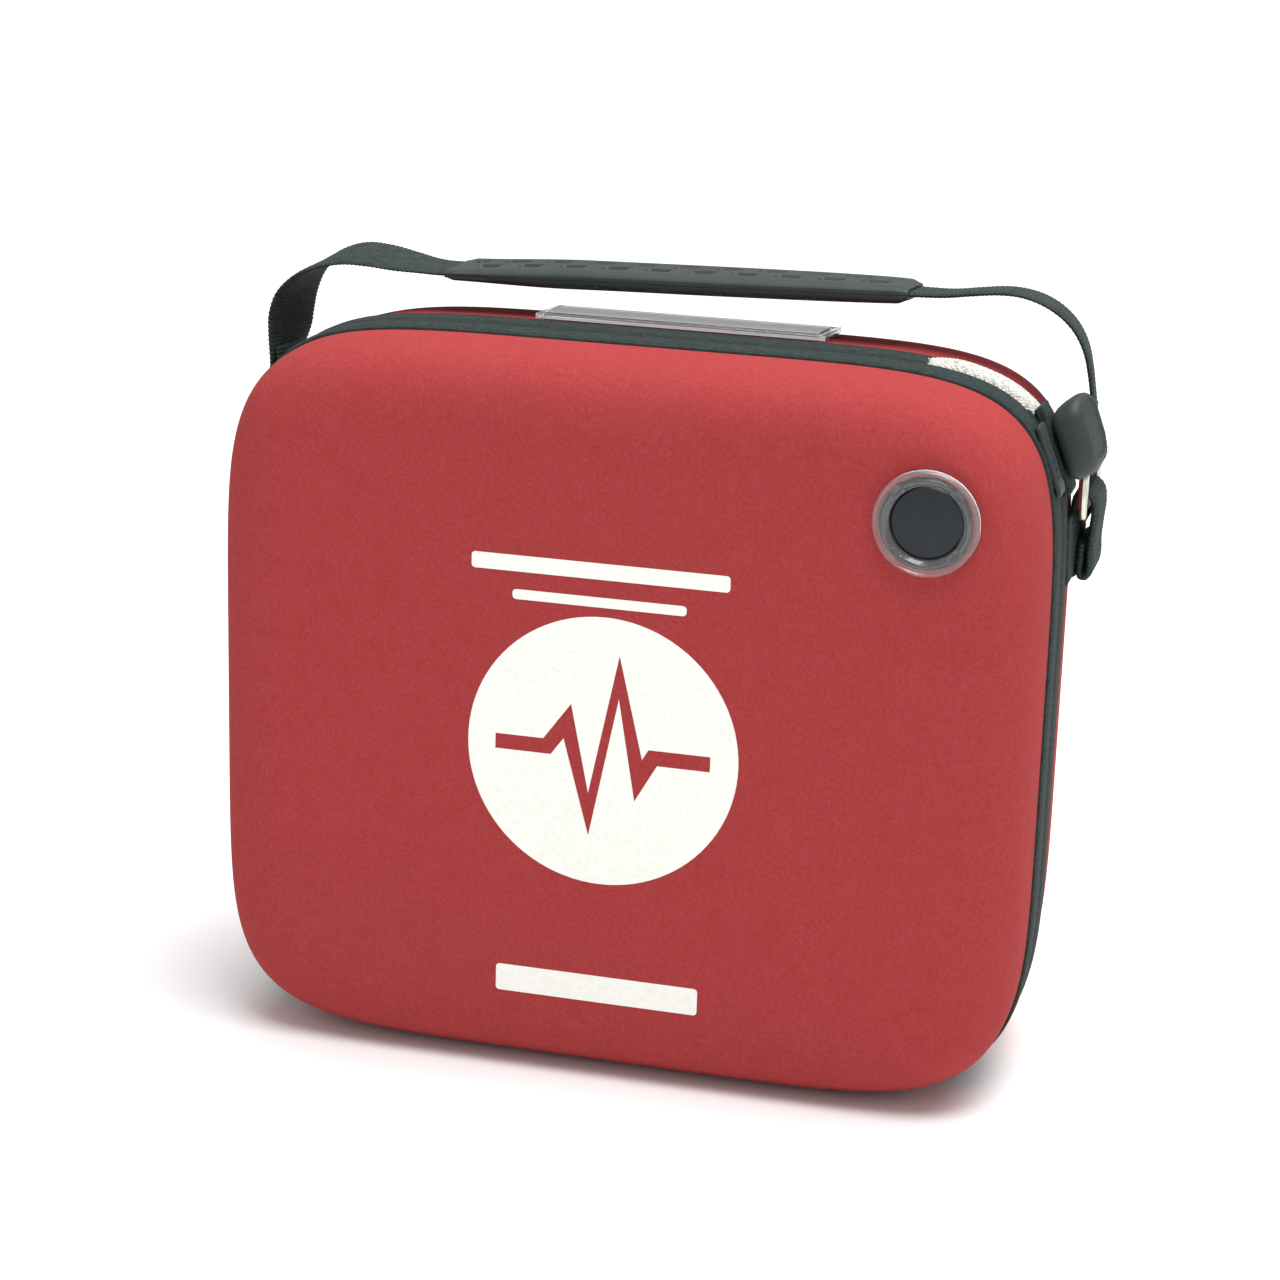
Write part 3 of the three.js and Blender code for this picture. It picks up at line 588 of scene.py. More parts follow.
def makeLoopTree():
    # knitted loops: small flattened beads standing on every point of a guide skin
    tree = bpy.data.node_groups.new("knitLoops", "GeometryNodeTree")
    addSocket(tree, "Geometry", "Geometry")
    addSocket(tree, "Loop Width", "Float")
    addSocket(tree, "Loop Height", "Float")
    addSocket(tree, "Variation", "Float")
    addSocket(tree, "Seed", "Int")
    addSocket(tree, "Material", "Material")
    addSocket(tree, "Geometry", "Geometry", "OUTPUT")
    given = addNode(tree, "NodeGroupInput")
    normal = addNode(tree, "GeometryNodeInputNormal")
    turn = addNode(tree, "FunctionNodeAlignRotationToVector", {"axis": "Z"}, {"Vector": normal.outputs[0]})
    shape = addNode(tree, "GeometryNodeMeshUVSphere", None, {"Segments": 7, "Rings": 5, "Radius": 0.5})
    low = addNode(tree, "ShaderNodeMath", {"operation": "SUBTRACT"}, {0: 1.0, 1: given.outputs["Variation"]})
    high = addNode(tree, "ShaderNodeMath", {"operation": "ADD"}, {0: 1.0, 1: given.outputs["Variation"]})
    chance = addNode(tree, "FunctionNodeRandomValue", {"data_type": "FLOAT"}, {
        2: low.outputs[0], 3: high.outputs[0], "Seed": given.outputs["Seed"]})
    wide = addNode(tree, "ShaderNodeMath", {"operation": "MULTIPLY"},
                   {0: given.outputs["Loop Width"], 1: chance.outputs[1]})
    size = addNode(tree, "ShaderNodeCombineXYZ", None,
                   {"X": wide.outputs[0], "Y": wide.outputs[0], "Z": given.outputs["Loop Height"]})
    loops = addNode(tree, "GeometryNodeInstanceOnPoints", None, {
        "Points": given.outputs["Geometry"], "Instance": shape.outputs["Mesh"],
        "Rotation": turn.outputs["Rotation"], "Scale": size.outputs["Vector"],
    })
    finishTree(tree, loops.outputs["Instances"], given)
    return tree


def runTree(obj, tree, values):
    modifier = obj.modifiers.new("pattern", "NODES")
    modifier.node_group = tree
    for item in tree.interface.items_tree:
        if item.name in values and item.in_out == "INPUT":
            modifier[item.identifier] = values[item.name]
    obj.update_tag()
    return bakeModifiers(obj)


stitchTree = makeRowTree("stitchRow", False)
toothTree = makeRowTree("toothRow", True)
loopTree = makeLoopTree()
stitch = {"pitch": 2.8 * mm, "length": 2.2 * mm, "thread": 0.36 * mm}
stitchLines = {"lid": [], "base": [], "handle": []}


def addStitchLine(body, points, closed=False):
    stitchLines[body].append(points + points[:1] if closed else points)


def makeRow(name, lines, tree, values, body, slotName):
    points, edges = [], []
    for line in lines:
        start = len(points)
        points += [tuple(p) for p in line]
        edges += [(start + i, start + i + 1) for i in range(len(line) - 1)]
    mesh = bpy.data.meshes.new(name)
    mesh.from_pydata(points, edges, [])
    obj = bpy.data.objects.new(name, mesh)
    bpy.context.scene.collection.objects.link(obj)
    runTree(obj, tree, values)
    return fit(obj, body, slotName)


# the two moulded shells: red cloth outside, lining inside
lidShape = {"reach": 27 * mm, "power": 3, "draft": 0.0, "sideSteps": 26, "faceSteps": 42, "around": 288}
baseShape = {"reach": 24 * mm, "power": 4, "draft": 0.045, "sideSteps": 30, "faceSteps": 14, "around": 288}
windowLow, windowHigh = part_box("window_bezel")
window = {
    "centre": (windowLow + windowHigh) / 2,
    "outer": (windowHigh.x - windowLow.x) / 2,
    "flangeWidth": 2 * mm,     # how far the flange reaches past the barrel
    "clearance": 0.3 * mm,
    "dent": 0.6 * mm,          # the cloth is drawn in under the flange
    "dentReach": 8 * mm,
    "cutDepth": 30 * mm,
    "faceDepth": 1.5 * mm,     # cloth this near the lid's front belongs to its face
}
window["barrel"] = window["outer"] - window["flangeWidth"]


def shellRings(shape, rimY, faceY, inset, steps, faceSteps):
    rings = []
    power = shape["power"]
    reach = shape["reach"] - (case["liningReach"] if inset else 0)
    end = faceY - math.copysign(inset, faceY - rimY)
    for i in range(steps + 1):
        share = min(math.sin(i / steps * math.pi / 2) ** (2 / power), 1.0)
        drawnIn = reach * (1 - (1 - share ** power) ** (1 / power))
        y = rimY + (end - rimY) * share
        side = -inset - drawnIn - shape["draft"] * share * abs(end - rimY)
        rings.append([outlinePoint(k / shape["around"], y, side, -inset - drawnIn)
                      for k in range(shape["around"])])
    centre = Vector((0, end, case["middle"]))
    edge = rings[-1]
    for i in range(1, faceSteps):
        rings.append([centre + (p - centre) * (1 - i / faceSteps) for p in edge])
    return rings


def makeShell(name, shape, rimY, faceY, body, node):
    outer = shellRings(shape, rimY, faceY, 0.0, shape["sideSteps"], shape["faceSteps"])
    inner = shellRings(shape, rimY, faceY, case["wall"], *case["liningSteps"])
    points, faces, corners = sweep(list(reversed(outer)) + inner)
    around = shape["around"]
    outside = around * (len(outer) - 1)
    hubs = len(faces) - 2 * around
    paint = [0 if i < outside or hubs <= i < hubs + around else 1 for i in range(len(faces))]
    obj = makePiece(name, points, faces, [jersey, lining], corners, paint, 50)
    return fit(obj, body, "red_fabric", node)


def dentRoundWindow(obj):
    for v in obj.data.vertices:
        far = math.hypot(v.co.x - window["centre"].x, v.co.z - window["centre"].z) - window["outer"]
        if v.co.y < frontLow.y + window["faceDepth"] and far < window["dentReach"]:
            v.co.y += window["dent"] * (1 - easeBetween(far, -1 * mm, window["dentReach"]))


def cutWindow(obj):
    work = bmesh.new()
    radius = window["barrel"] + window["clearance"]
    bmesh.ops.create_cone(work, cap_ends=True, segments=96, radius1=radius, radius2=radius,
                          depth=window["cutDepth"])
    bmesh.ops.rotate(work, verts=work.verts, matrix=Matrix.Rotation(math.pi / 2, 3, "X"))
    bmesh.ops.translate(work, verts=work.verts, vec=(window["centre"].x, frontLow.y, window["centre"].z))
    mesh = bpy.data.meshes.new("windowCutter")
    work.to_mesh(mesh)
    work.free()
    cutter = bpy.data.objects.new("windowCutter", mesh)
    bpy.context.scene.collection.objects.link(cutter)
    modifier = obj.modifiers.new("hole", "BOOLEAN")
    modifier.object = cutter
    modifier.solver = "EXACT"
    bakeModifiers(obj)
    bpy.data.objects.remove(cutter)


frontShell = makeShell("frontShell", lidShape, frontHigh.y, frontLow.y, "lid", "front_shell")
dentRoundWindow(frontShell)
cutWindow(frontShell)
makeShell("rearShell", baseShape, rearLow.y, rearHigh.y, "base", "rear_shell")
print("shells are moulded")


# bindings: folded tape sewn over the rims
band = {
    "inner": -4 * mm,
    "steps": 420,
    "stitchShare": 0.15,    # stitch lines stand this share of the width in from each edge
    "stitchOut": 0.78,      # and at this share of the tape's height, in the groove that they pull in
    "profile": [(0.0, 0.2), (0.02, 0.62), (0.08, 0.86), (0.15, 0.72), (0.23, 0.92), (0.5, 1.0)],
}


def bandSection(y0, y1):
    whole = band["profile"] + [(1 - share, out) for share, out in reversed(band["profile"][:-1])]
    section = [(y0 + (y1 - y0) * share, case["bulge"] * out) for share, out in whole]
    return [(y0, band["inner"])] + section + [(y1, band["inner"])]


def makeBand(name, low, high, start, end, body, node):
    whole = end - start >= 1
    section = bandSection(low.y, high.y)
    turns = [start + (end - start) * i / band["steps"] for i in range(band["steps"] + (0 if whole else 1))]
    rings = [[outlinePoint(t, y, offset) for y, offset in section] for t in turns]
    points, faces, corners = sweep(rings, whole)
    obj = makePiece(name, points, faces, [bindingTape], corners)
    for share in (band["stitchShare"], 1 - band["stitchShare"]):
        y = low.y + (high.y - low.y) * share
        line = [outlinePoint(t, y, case["bulge"] * band["stitchOut"]) for t in turns]
        addStitchLine(body, line, whole)
    return fit(obj, body, "black_binding", node)


rollTurns = (0.103, 0.166)       # the white roll's stretch of the outline, in turns from +X
rollGap = 0.001                  # the rear tape stops this short of it
makeBand("frontBinding", frontBandLow, frontBandHigh, 0.0, 1.0, "lid", "front_binding")
makeBand("rearBinding", rearBandLow, rearBandHigh, rollTurns[1] + rollGap,
         1 + rollTurns[0] - rollGap, "base", "rear_binding")
print("bindings are sewn")


# the white knitted roll at the upper right corner
rollLow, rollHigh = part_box("edge_roll")
roll = {
    "y": (rollLow.y + rollHigh.y) / 2,
    "offset": -1.2 * mm,
    "start": 0.098,          # turns; both ends run in under the tape and the patch
    "end": 0.1705,
    "halfDepth": (rollHigh.y - rollLow.y) / 2 - 0.3 * mm,
    "halfHeight": 3.9 * mm,
    "taper": 0.02,          # turns over which the far end closes
    "loopWidth": 1.75 * mm,
    "loopHeight": 1.1 * mm,
    "variation": 0.16,
    "around": 22,           # loops round the roll and along it
    "along": 46,
    "coreShrink": 0.35 * mm,
    "guideShrink": 0.4 * mm,
    "blunt": 0.07,          # share of its full thickness left at the closed end
    "seed": 7,
}


def rollRings(along, around, shrink, stagger=False):
    rings = []
    for i in range(along + 1):
        turn = roll["start"] + (roll["end"] - roll["start"]) * i / along
        left = max((roll["end"] - turn) / roll["taper"], 0.0)
        size = (1 - (1 - min(left, 1)) ** 2) ** 0.5 * (1 - roll["blunt"]) + roll["blunt"]
        shift = 0.5 * (i % 2) if stagger else 0
        ring = []
        for k in range(around):
            angle = (k + shift) / around * tau
            y = roll["y"] + (roll["halfDepth"] * size - shrink) * math.cos(angle)
            out = roll["offset"] + (roll["halfHeight"] * size - shrink) * math.sin(angle)
            ring.append(outlinePoint(turn, y, out))
        rings.append(ring)
    return rings


def makeRoll():
    points, faces, corners = sweep(rollRings(60, 28, roll["coreShrink"]))
    obj = makePiece("edgeRoll", points, faces, [pipingKnit], corners)
    fit(obj, "base", "white_knit", "edge_roll")
    guidePoints, guideFaces, _ = sweep(rollRings(roll["along"], roll["around"], roll["guideShrink"], True))
    loops = makePiece("edgeRollLoops", guidePoints, guideFaces, [pipingKnit])
    runTree(loops, loopTree, {
        "Loop Width": roll["loopWidth"], "Loop Height": roll["loopHeight"],
        "Variation": roll["variation"], "Seed": roll["seed"], "Material": pipingKnit,
    })
    fit(loops, "base", "white_knit")


makeRoll()
print("edge roll is knitted")


# white print on the lid: a plain disc with a pulse line, and plain bars where words would be
prints = {
    "lift": 0.12 * mm,       # the ink's face stands this far off the cloth
    "sunk": 0.3 * mm,        # and its back this far behind it
    "discCentre": (0.0, 112.0),          # mm, x and z
    "discRadius": 44.0,
    "pulse": [(-35, 0), (-18, 0), (-11.5, 9), (-4, -21), (5, 25), (12, -8), (16.5, 0), (35, 0)],
    "pulseHalf": 2.5,
    "bars": [(-2.2, 170.5, 83, 5.2), (-2.2, 160.6, 56, 3.2), (0.0, 32.0, 67, 9.0)],
    "sharpestMitre": 0.35,
}


def strokeOutline(line, half):
    # both sides of a line of even width, with mitred corners
    left, right = [], []
    last = len(line) - 1
    for i, point in enumerate(line):
        here = Vector(point)
        a = (here - Vector(line[i - 1])).normalized() if i > 0 else None
        b = (Vector(line[i + 1]) - here).normalized() if i < last else None
        a, b = a or b, b or a
        normal = Vector((-(a + b).y, (a + b).x)).normalized()
        reach = half / max(normal.dot(Vector((-a.y, a.x))), prints["sharpestMitre"])
        left.append(here + normal * reach)
        right.append(here - normal * reach)
    return left + right[::-1]


def circleOutline(x, z, radius, count=96):
    return [Vector((x + radius * math.cos(i / count * tau), z + radius * math.sin(i / count * tau)))
            for i in range(count)]


def barOutline(x, z, width, height, corner=1.2):
    out = []
    for quarter, (sx, sz) in enumerate(((1, 1), (-1, 1), (-1, -1), (1, -1))):
        for i in range(7):
            a = (quarter + i / 6) * math.pi / 2
            out.append(Vector((x + sx * (width / 2 - corner) + corner * math.cos(a),
                               z + sz * (height / 2 - corner) + corner * math.sin(a))))
    return out


def flatPlate(name, loops, y0, y1, mat):
    # a closed plate between y0 and y1 from outlines in x and z, the first the edge, the others holes
    flat = [p for loop in loops for p in loop]
    triangles = geometry.tessellate_polygon([[p.to_3d() for p in loop] for loop in loops])
    count = len(flat)
    points = [Vector((p.x * mm, y, p.y * mm)) for y in (y0, y1) for p in flat]
    faces = [tuple(t) for t in triangles] + [tuple(i + count for i in reversed(t)) for t in triangles]
    start = 0
    for loop in loops:
        for i in range(len(loop)):
            a, b = start + i, start + (i + 1) % len(loop)
            faces.append((a, b, b + count, a + count))
        start += len(loop)
    return makePiece(name, points, faces, [mat])


def makePrints():
    y0, y1 = frontLow.y - prints["lift"], frontLow.y + prints["sunk"]
    cx, cz = prints["discCentre"]
    trace = [(cx + x, cz + z) for x, z in prints["pulse"]]
    disc = [circleOutline(cx, cz, prints["discRadius"]), strokeOutline(trace, prints["pulseHalf"])]
    fit(flatPlate("printedDisc", disc, y0, y1, screenInk), "lid", "card")
    for i, (x, z, width, height) in enumerate(prints["bars"]):
        plate = flatPlate(f"printedBar{i + 1}", [barOutline(x, z, width, height)], y0, y1, screenInk)
        fit(plate, "lid", "card")


makePrints()
print("lid is printed")


# the window in the lid: a clear snap-in bezel, a smoked disc and the clip ring behind
lensLow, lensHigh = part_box("window_lens")
window.update({
    "bore": (lensHigh.x - lensLow.x) / 2 + 0.3 * mm,
    "front": windowLow.y,
    "back": windowHigh.y,
    "notches": 4,
    "notchHalf": math.radians(9),
    "notchDepth": 1.3 * mm,
    "seatGap": 0.2 * mm,
    "segments": 144,
    # the flange's two rounded ridges: out from the bore, back from the front, share of a notch's depth
    "innerRidge": [(0.0, 1.7 * mm, 0), (0.2 * mm, 1.3 * mm, 0), (0.7 * mm, 1.0 * mm, 0),
                   (1.0 * mm, 0.5 * mm, 0.5), (1.4 * mm, 0.15 * mm, 1), (1.8 * mm, 0.1 * mm, 1),
                   (2.3 * mm, 0.4 * mm, 0.6), (2.7 * mm, 1.05 * mm, 0)],
    # and in from the rim, back from the front
    "outerRidge": [(1.8 * mm, 1.15 * mm), (1.4 * mm, 0.5 * mm), (1.0 * mm, 0.12 * mm), (0.6 * mm, 0.1 * mm),
                   (0.2 * mm, 0.45 * mm), (0.0, 1.0 * mm)],
})


def aroundY(centre, profile, segments):
    # a ring of revolution about an axis along Y; profile gives (radius, y) pairs at an angle
    rings = []
    for i in range(segments):
        angle = i / segments * tau
        rings.append([Vector((centre.x + r * math.cos(angle), y, centre.z + r * math.sin(angle)))
                      for r, y in profile(angle)])
    return sweep(rings, True)


def bezelProfile(angle):
    w = window
    sector = tau / w["notches"]
    away = abs(angle % sector - sector / 2)
    sink = w["notchDepth"] * (1 - easeBetween(away, w["notchHalf"] * 0.7, w["notchHalf"]))
    innerRidge = [(w["bore"] + out, w["front"] + down + sink * share)
                  for out, down, share in w["innerRidge"]]
    outerRidge = [(w["outer"] - inward, w["front"] + down) for inward, down in w["outerRidge"]]
    seat = frontLow.y - w["seatGap"]
    return ([(w["bore"], w["back"])] + innerRidge + outerRidge
            + [(w["outer"], seat), (w["barrel"], seat), (w["barrel"], w["back"])])


def lensProfile(angle):
    radius = window["bore"] - 0.25 * mm
    front, back = lensLow.y, lensHigh.y
    return [
        (0.01 * mm, back), (radius, back), (radius, front + 0.5 * mm), (radius - 0.5 * mm, front),
        (radius * 0.7, front - 0.12 * mm), (radius * 0.35, front - 0.2 * mm), (0.01 * mm, front - 0.22 * mm),
    ]


def makeWindow():
    points, faces, corners = aroundY(window["centre"], bezelProfile, window["segments"])
    bezel = makePiece("windowBezel", points, faces, [clearPlastic], corners, None, 40)
    fit(bezel, "lid", "clear_plastic", "window_bezel")
    points, faces, corners = aroundY(window["centre"], lensProfile, 96)
    lens = makePiece("windowLens", points, faces, [smokedLens], corners, None, 40)
    tidyMesh(lens, 40, 0.005 * mm)
    fit(lens, "lid", "dark_lens", "window_lens")


makeWindow()
print("window is fitted")


# carrying strap: one length of webbing, folded round a ring's bar at each end
strapLow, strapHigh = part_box("strap")
strap = {
    "y": (strapLow.y + strapHigh.y) / 2,
    "halfWidth": (strapHigh.y - strapLow.y) / 2,
    "halfThick": 0.9 * mm,
    "rib": 1.5 * mm,         # spacing of the cross ribs
    "ribRise": 0.05 * mm,
    "edgeRise": 0.24 * mm,   # bumps that the weft makes along the edges
    "spacing": 0.375 * mm,
    "stitchedBeyond": 136.9 * mm,            # the folded end's outer layer lies beyond this x
    "stitchHeights": (207 * mm, 211.5 * mm),
    "stitchReach": 0.84,     # stitches run this share of the way to the edges
    # x and z in mm and the webbing's twist in degrees: round the left ring, over and round the right
    "line": [
        (-135.4, 217, 0), (-135.3, 211, 0), (-134.6, 205.5, 0), (-133.7, 202, 0), (-134.4, 199, 0),
        (-136.5, 198.1, 0), (-138.6, 199, 0), (-139.4, 201.5, 0), (-138.7, 206, 0), (-137.5, 211, -2),
        (-136.5, 217, -9), (-135.8, 222, -14), (-135.2, 228, -16), (-133.2, 234.6, -13), (-128.6, 241, -5),
        (-121.5, 246.0, 3), (-113, 248.6, 7), (-104, 248.5, 6.5), (-95, 247.3, 4), (-86, 246.3, 0),
        (-77, 246.1, -0.5), (-50, 246.8, -1), (-20, 247.7, -1.5), (10, 248.5, -1.5), (40, 249.3, -2),
        (65, 249.9, -3), (78, 250.1, -4.5), (88, 250.4, -5.5), (97, 251.6, -5.5), (105, 252.5, -5.5),
        (112, 252.2, -6), (118.5, 250.4, -6), (124.5, 247, -6.5), (129.3, 242.2, -7), (132.6, 236, -7),
        (134.4, 229, -7), (135.6, 222, -7), (136.6, 215, -6), (137.4, 209.5, -3), (138.7, 205.5, 0),
        (139.4, 201.5, 0), (138.6, 199, 0), (136.5, 198.1, 0), (134.4, 199, 0), (133.7, 202, 0),
        (134.6, 205.5, 0), (135.3, 211, 0), (135.4, 217, 0),
    ],
}


def ribbonFrames(line, y, spacing):
    # centre, along, across and out at even steps, with the webbing turned about its own line
    route = smoothPath([(x * mm, y, z * mm, twist) for x, z, twist in line], spacing)
    frames = []
    for i, (x, py, z, twist) in enumerate(route):
        a, b = route[max(i - 1, 0)], route[min(i + 1, len(route) - 1)]
        along = Vector((b[0] - a[0], 0, b[2] - a[2])).normalized()
        flat = Vector((-along.z, 0, along.x))
        angle = math.radians(twist)
        across = Vector((0, 1, 0)) * math.cos(angle) + flat * math.sin(angle)
        frames.append((Vector((x, py, z)), along, across, along.cross(across).normalized()))
    return frames


def ribbonRings(frames, halfWidth, halfThick, spacing, style):
    # both faces are flat to flatShare of the half width, then thin towards the edges
    flatShare = 0.8
    thinning = 0.45
    rings = []
    for i, (centre, along, across, out) in enumerate(frames):
        wave = math.cos(i * spacing / style["rib"] * tau)
        w = halfWidth + style["edgeRise"] * wave
        h = halfThick - style["ribRise"] + style["ribRise"] * wave
        ring = []
        for side in (1, -1):
            for share in (-0.97, -flatShare, -0.4, 0.0, 0.4, flatShare, 0.97):
                edge = 1 - thinning * max(abs(share) - flatShare, 0) / (0.97 - flatShare)
                ring.append(centre + across * (w * share * side) + out * (h * side * edge))
            ring.append(centre + across * (w * side))
        rings.append(ring)
    return rings


def makeStrap():
    frames = ribbonFrames(strap["line"], strap["y"], strap["spacing"])
    rings = ribbonRings(frames, strap["halfWidth"], strap["halfThick"], strap["spacing"], strap)
    points, faces, corners = sweep(rings)
    obj = makePiece("strapWebbing", points, faces, [webbing], corners, None, 50)
    fit(obj, "handle", "black_webbing", "strap")
    lowest = strap["stitchHeights"][0]
    outerLegs = [f for f in frames if abs(f[0].x) > strap["stitchedBeyond"] and f[0].z > lowest]
    for side in (-1, 1):
        for height in strap["stitchHeights"]:
            leg = [f for f in outerLegs if f[0].x * side > 0]
            centre, _, across, out = min(leg, key=lambda f: abs(f[0].z - height))
            face = centre + out * strap["halfThick"]
            reach = across * (strap["halfWidth"] * strap["stitchReach"])
            addStitchLine("handle", [face - reach, face + reach])
    return frames


strapFrames = makeStrap()
print("strap is woven")


# the grip: two moulded halves round the strap, the upper one dimpled, its dimple floors painted darker as
# shade
gripLow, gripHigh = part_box("grip_upper")
grip = {
    "halfLength": gripHigh.x,
    "halfWidth": (gripHigh.y - gripLow.y) / 2,
    "room": 1.1 * mm,        # from the strap's middle to the halves' inner faces
    "parting": 0.06 * mm,
    "side": 2.5 * mm,        # height of a half's edge before its crown
    "crown": 0.6 * mm,
    "dimplePitch": 14.4 * mm,
    "dimpleLength": 8.6 * mm,
    "dimpleWidth": 6.4 * mm,
    "dimpleRows": (-4.3 * mm, 5.3 * mm),
    "dimpleDepth": 1.5 * mm,
    "edge": 1.1 * mm,        # width of a dimple's sloping edge
    "across": 46,
    "leftTaper": 0.42,       # the grip is this much thinner at its left end
    "taperEnds": -0.45,      # and back to full thickness at this share of its half length
    "endStarts": 0.955,      # its ends close from here to the tips, to these shares of its size
    "endWidth": 0.9,
    "endHeight": 0.6,
    "dimplesEnd": 0.93,
    "liner": 0.25 * mm,      # room between the strap's edges and the halves
}


def dimpleAt(s, w):
    depth = 0.0
    for row, middle in enumerate(grip["dimpleRows"]):
        phase = (s / grip["dimplePitch"] + 0.5 * row) % 1 - 0.5
        ds = abs(phase) * grip["dimplePitch"] - grip["dimpleLength"] / 2
        dw = abs(w - middle) - grip["dimpleWidth"] / 2
        inside = (1 - easeBetween(ds, -grip["edge"], 0)) * (1 - easeBetween(dw, -grip["edge"], 0))
        depth = max(depth, inside)
    return depth * grip["dimpleDepth"]


def gripRings(direction):
    # the rings of one half, and for each of their points whether it lies deep in a dimple, whose floor is
    # painted darker as shade
    chosen = [f for f in strapFrames if abs(f[0].x) <= grip["halfLength"]][::2]
    chosen = [f for f in chosen if f[0].z > case["middle"]]
    rings, shadedHollows = [], []
    total = len(chosen) - 1
    for i, (centre, along, across, out) in enumerate(chosen):
        u = i / total * 2 - 1
        up = out * direction
        end = 1 - easeBetween(abs(u), grip["endStarts"], 1.0)
        swell = 1 - grip["leftTaper"] * (1 - easeBetween(u, -1.0, grip["taperEnds"]))
        half = grip["halfWidth"] * (grip["endWidth"] + (1 - grip["endWidth"]) * end)
        crown = grip["crown"] * (1 - u ** 4)
        side = grip["side"] * (grip["endHeight"] + (1 - grip["endHeight"]) * end) * swell
        s = u * grip["halfLength"]
        ring = []
        for k in range(grip["across"] + 1):
            share = k / grip["across"] * 2 - 1
            w = half * math.sin(share * math.pi / 2)
            lift = side + crown * (1 - abs(share) ** 2.6) * 0.82 + 0.3 * mm
            edge = 1 - min(abs(w / half), 1) ** 16
            height = side * 0.55 + (lift - side * 0.55) * edge
            dip = dimpleAt(s, w) if direction > 0 and abs(u) < grip["dimplesEnd"] else 0.0
            shadedHollows.append(dip > 0.5 * grip["dimpleDepth"])
            ring.append(centre + across * w + up * max(height - dip, grip["parting"]))
        inner = strap["halfWidth"] + grip["liner"]
        floorHeight = min(grip["room"], side * 0.8)
        widest = half * 0.995
        for w, h in ((half, grip["parting"]), (inner, grip["parting"]), (inner, floorHeight),
                     (-inner, floorHeight), (-inner, grip["parting"]), (-half, grip["parting"])):
            ring.append(centre + across * min(max(w, -widest), widest) + up * h)
            shadedHollows.append(False)
        rings.append(ring)
    return rings, shadedHollows + [False, False]


def makeGrip():
    for name, direction, node in (("gripUpper", 1, "grip_upper"), ("gripLower", -1, "grip_lower")):
        rings, shadedHollows = gripRings(direction)
        points, faces, corners = sweep(rings)
        # faces deep in a dimple take the darker rubber, painted shade
        paint = [1 if all(shadedHollows[i] for i in face) else 0 for face in faces]
        obj = makePiece(name, points, faces, [rubber, dimpleShadeRubber], corners, paint, 45)
        fit(obj, "handle", "black_rubber", node)


makeGrip()
print("grip is moulded")


# pads, straps and patches that lie round the outline, drawn flat and wrapped on
def roundedLoop(halfA, halfB, corner, count=8):
    out = []
    corner = max(min(corner, halfA * 0.98, halfB * 0.98), 0.0001)
    for quarter, (sa, sb) in enumerate(((1, 1), (-1, 1), (-1, -1), (1, -1))):
        for i in range(count + 1):
            a = (quarter + i / count) * math.pi / 2
            out.append((sa * (halfA - corner) + corner * math.cos(a),
                        sb * (halfB - corner) + corner * math.sin(a)))
    return out


def wrapPad(name, turns, yRange, profile, corner, mat, lean=0.0, sharp=40):
    # profile gives (inset, offset from the outline), from the underside's middle round to the top's
    middleTurn, middleY = sum(turns) / 2, sum(yRange) / 2
    level = sum(offset for _, offset in profile) / len(profile)
    span = (outlinePoint(turns[1], 0, level) - outlinePoint(turns[0], 0, level)).length
    halfA, halfB = span / 2, (yRange[1] - yRange[0]) / 2
    rings = []
    for inset, offset in profile:
        ring = []
        for a, b in roundedLoop(halfA - inset, halfB - inset, corner - inset):
            turn = middleTurn + a / span * (turns[1] - turns[0])
            ring.append(outlinePoint(turn, middleY + b, offset + lean * b))
        rings.append(ring)
    points, faces, corners = sweep(rings)
    return makePiece(name, points, faces, [mat], corners, None, sharp)


def domed(inside, low, high, edge, steps=6):
    # a pad's profile: flat underside, rounded edges, flat top
    out = [(inside * (steps - i) / steps + edge, low) for i in range(steps)]
    for i in range(5):
        a = i / 4 * math.pi / 2
        out.append((edge * (1 - math.sin(a)), low + edge * (1 - math.cos(a))))
    for i in range(5):
        a = i / 4 * math.pi / 2
        out.append((edge * (1 - math.cos(a)), high - edge + edge * math.sin(a)))
    return out + [(inside * (i + 1) / steps + edge, high) for i in range(steps)]


tab = {
    "turns": (0.0645, 0.0932),
    "corner": 7.5 * mm,
    "under": case["bulge"] + 3.3 * mm,
    "top": case["bulge"] + 11.6 * mm,
    "lean": 0.18,             # how much higher the rear end stands
    "edge": 3.0 * mm,
    "inside": 5.6 * mm,       # from the rounded edge to the pad's middle
    "dish": 0.45 * mm,        # the top is hollowed this deep inside its rim
    "rim": 3.1 * mm,
    "rimSlope": 0.7 * mm,
    "dishSteps": (1.6 * mm, 3.0 * mm, 4.4 * mm, 5.6 * mm),
    "rest": case["bulge"] + 0.25 * mm,        # underside of the root and of the patch
    "rootTop": case["bulge"] + 1.7 * mm,
    "patchTop": case["bulge"] + 2.8 * mm,
    "patchTurns": (0.062, 0.0995),
    "stitchOut": case["bulge"] + 1.45 * mm,
    "stitchInset": 1.6 * mm,
    "stitchSpan": 0.78,       # share of the root's length inside its stitches
}
tabLow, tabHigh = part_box("closure_tab")
tabRootLow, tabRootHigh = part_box("tab_root")
patchLow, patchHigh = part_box("loop_patch")


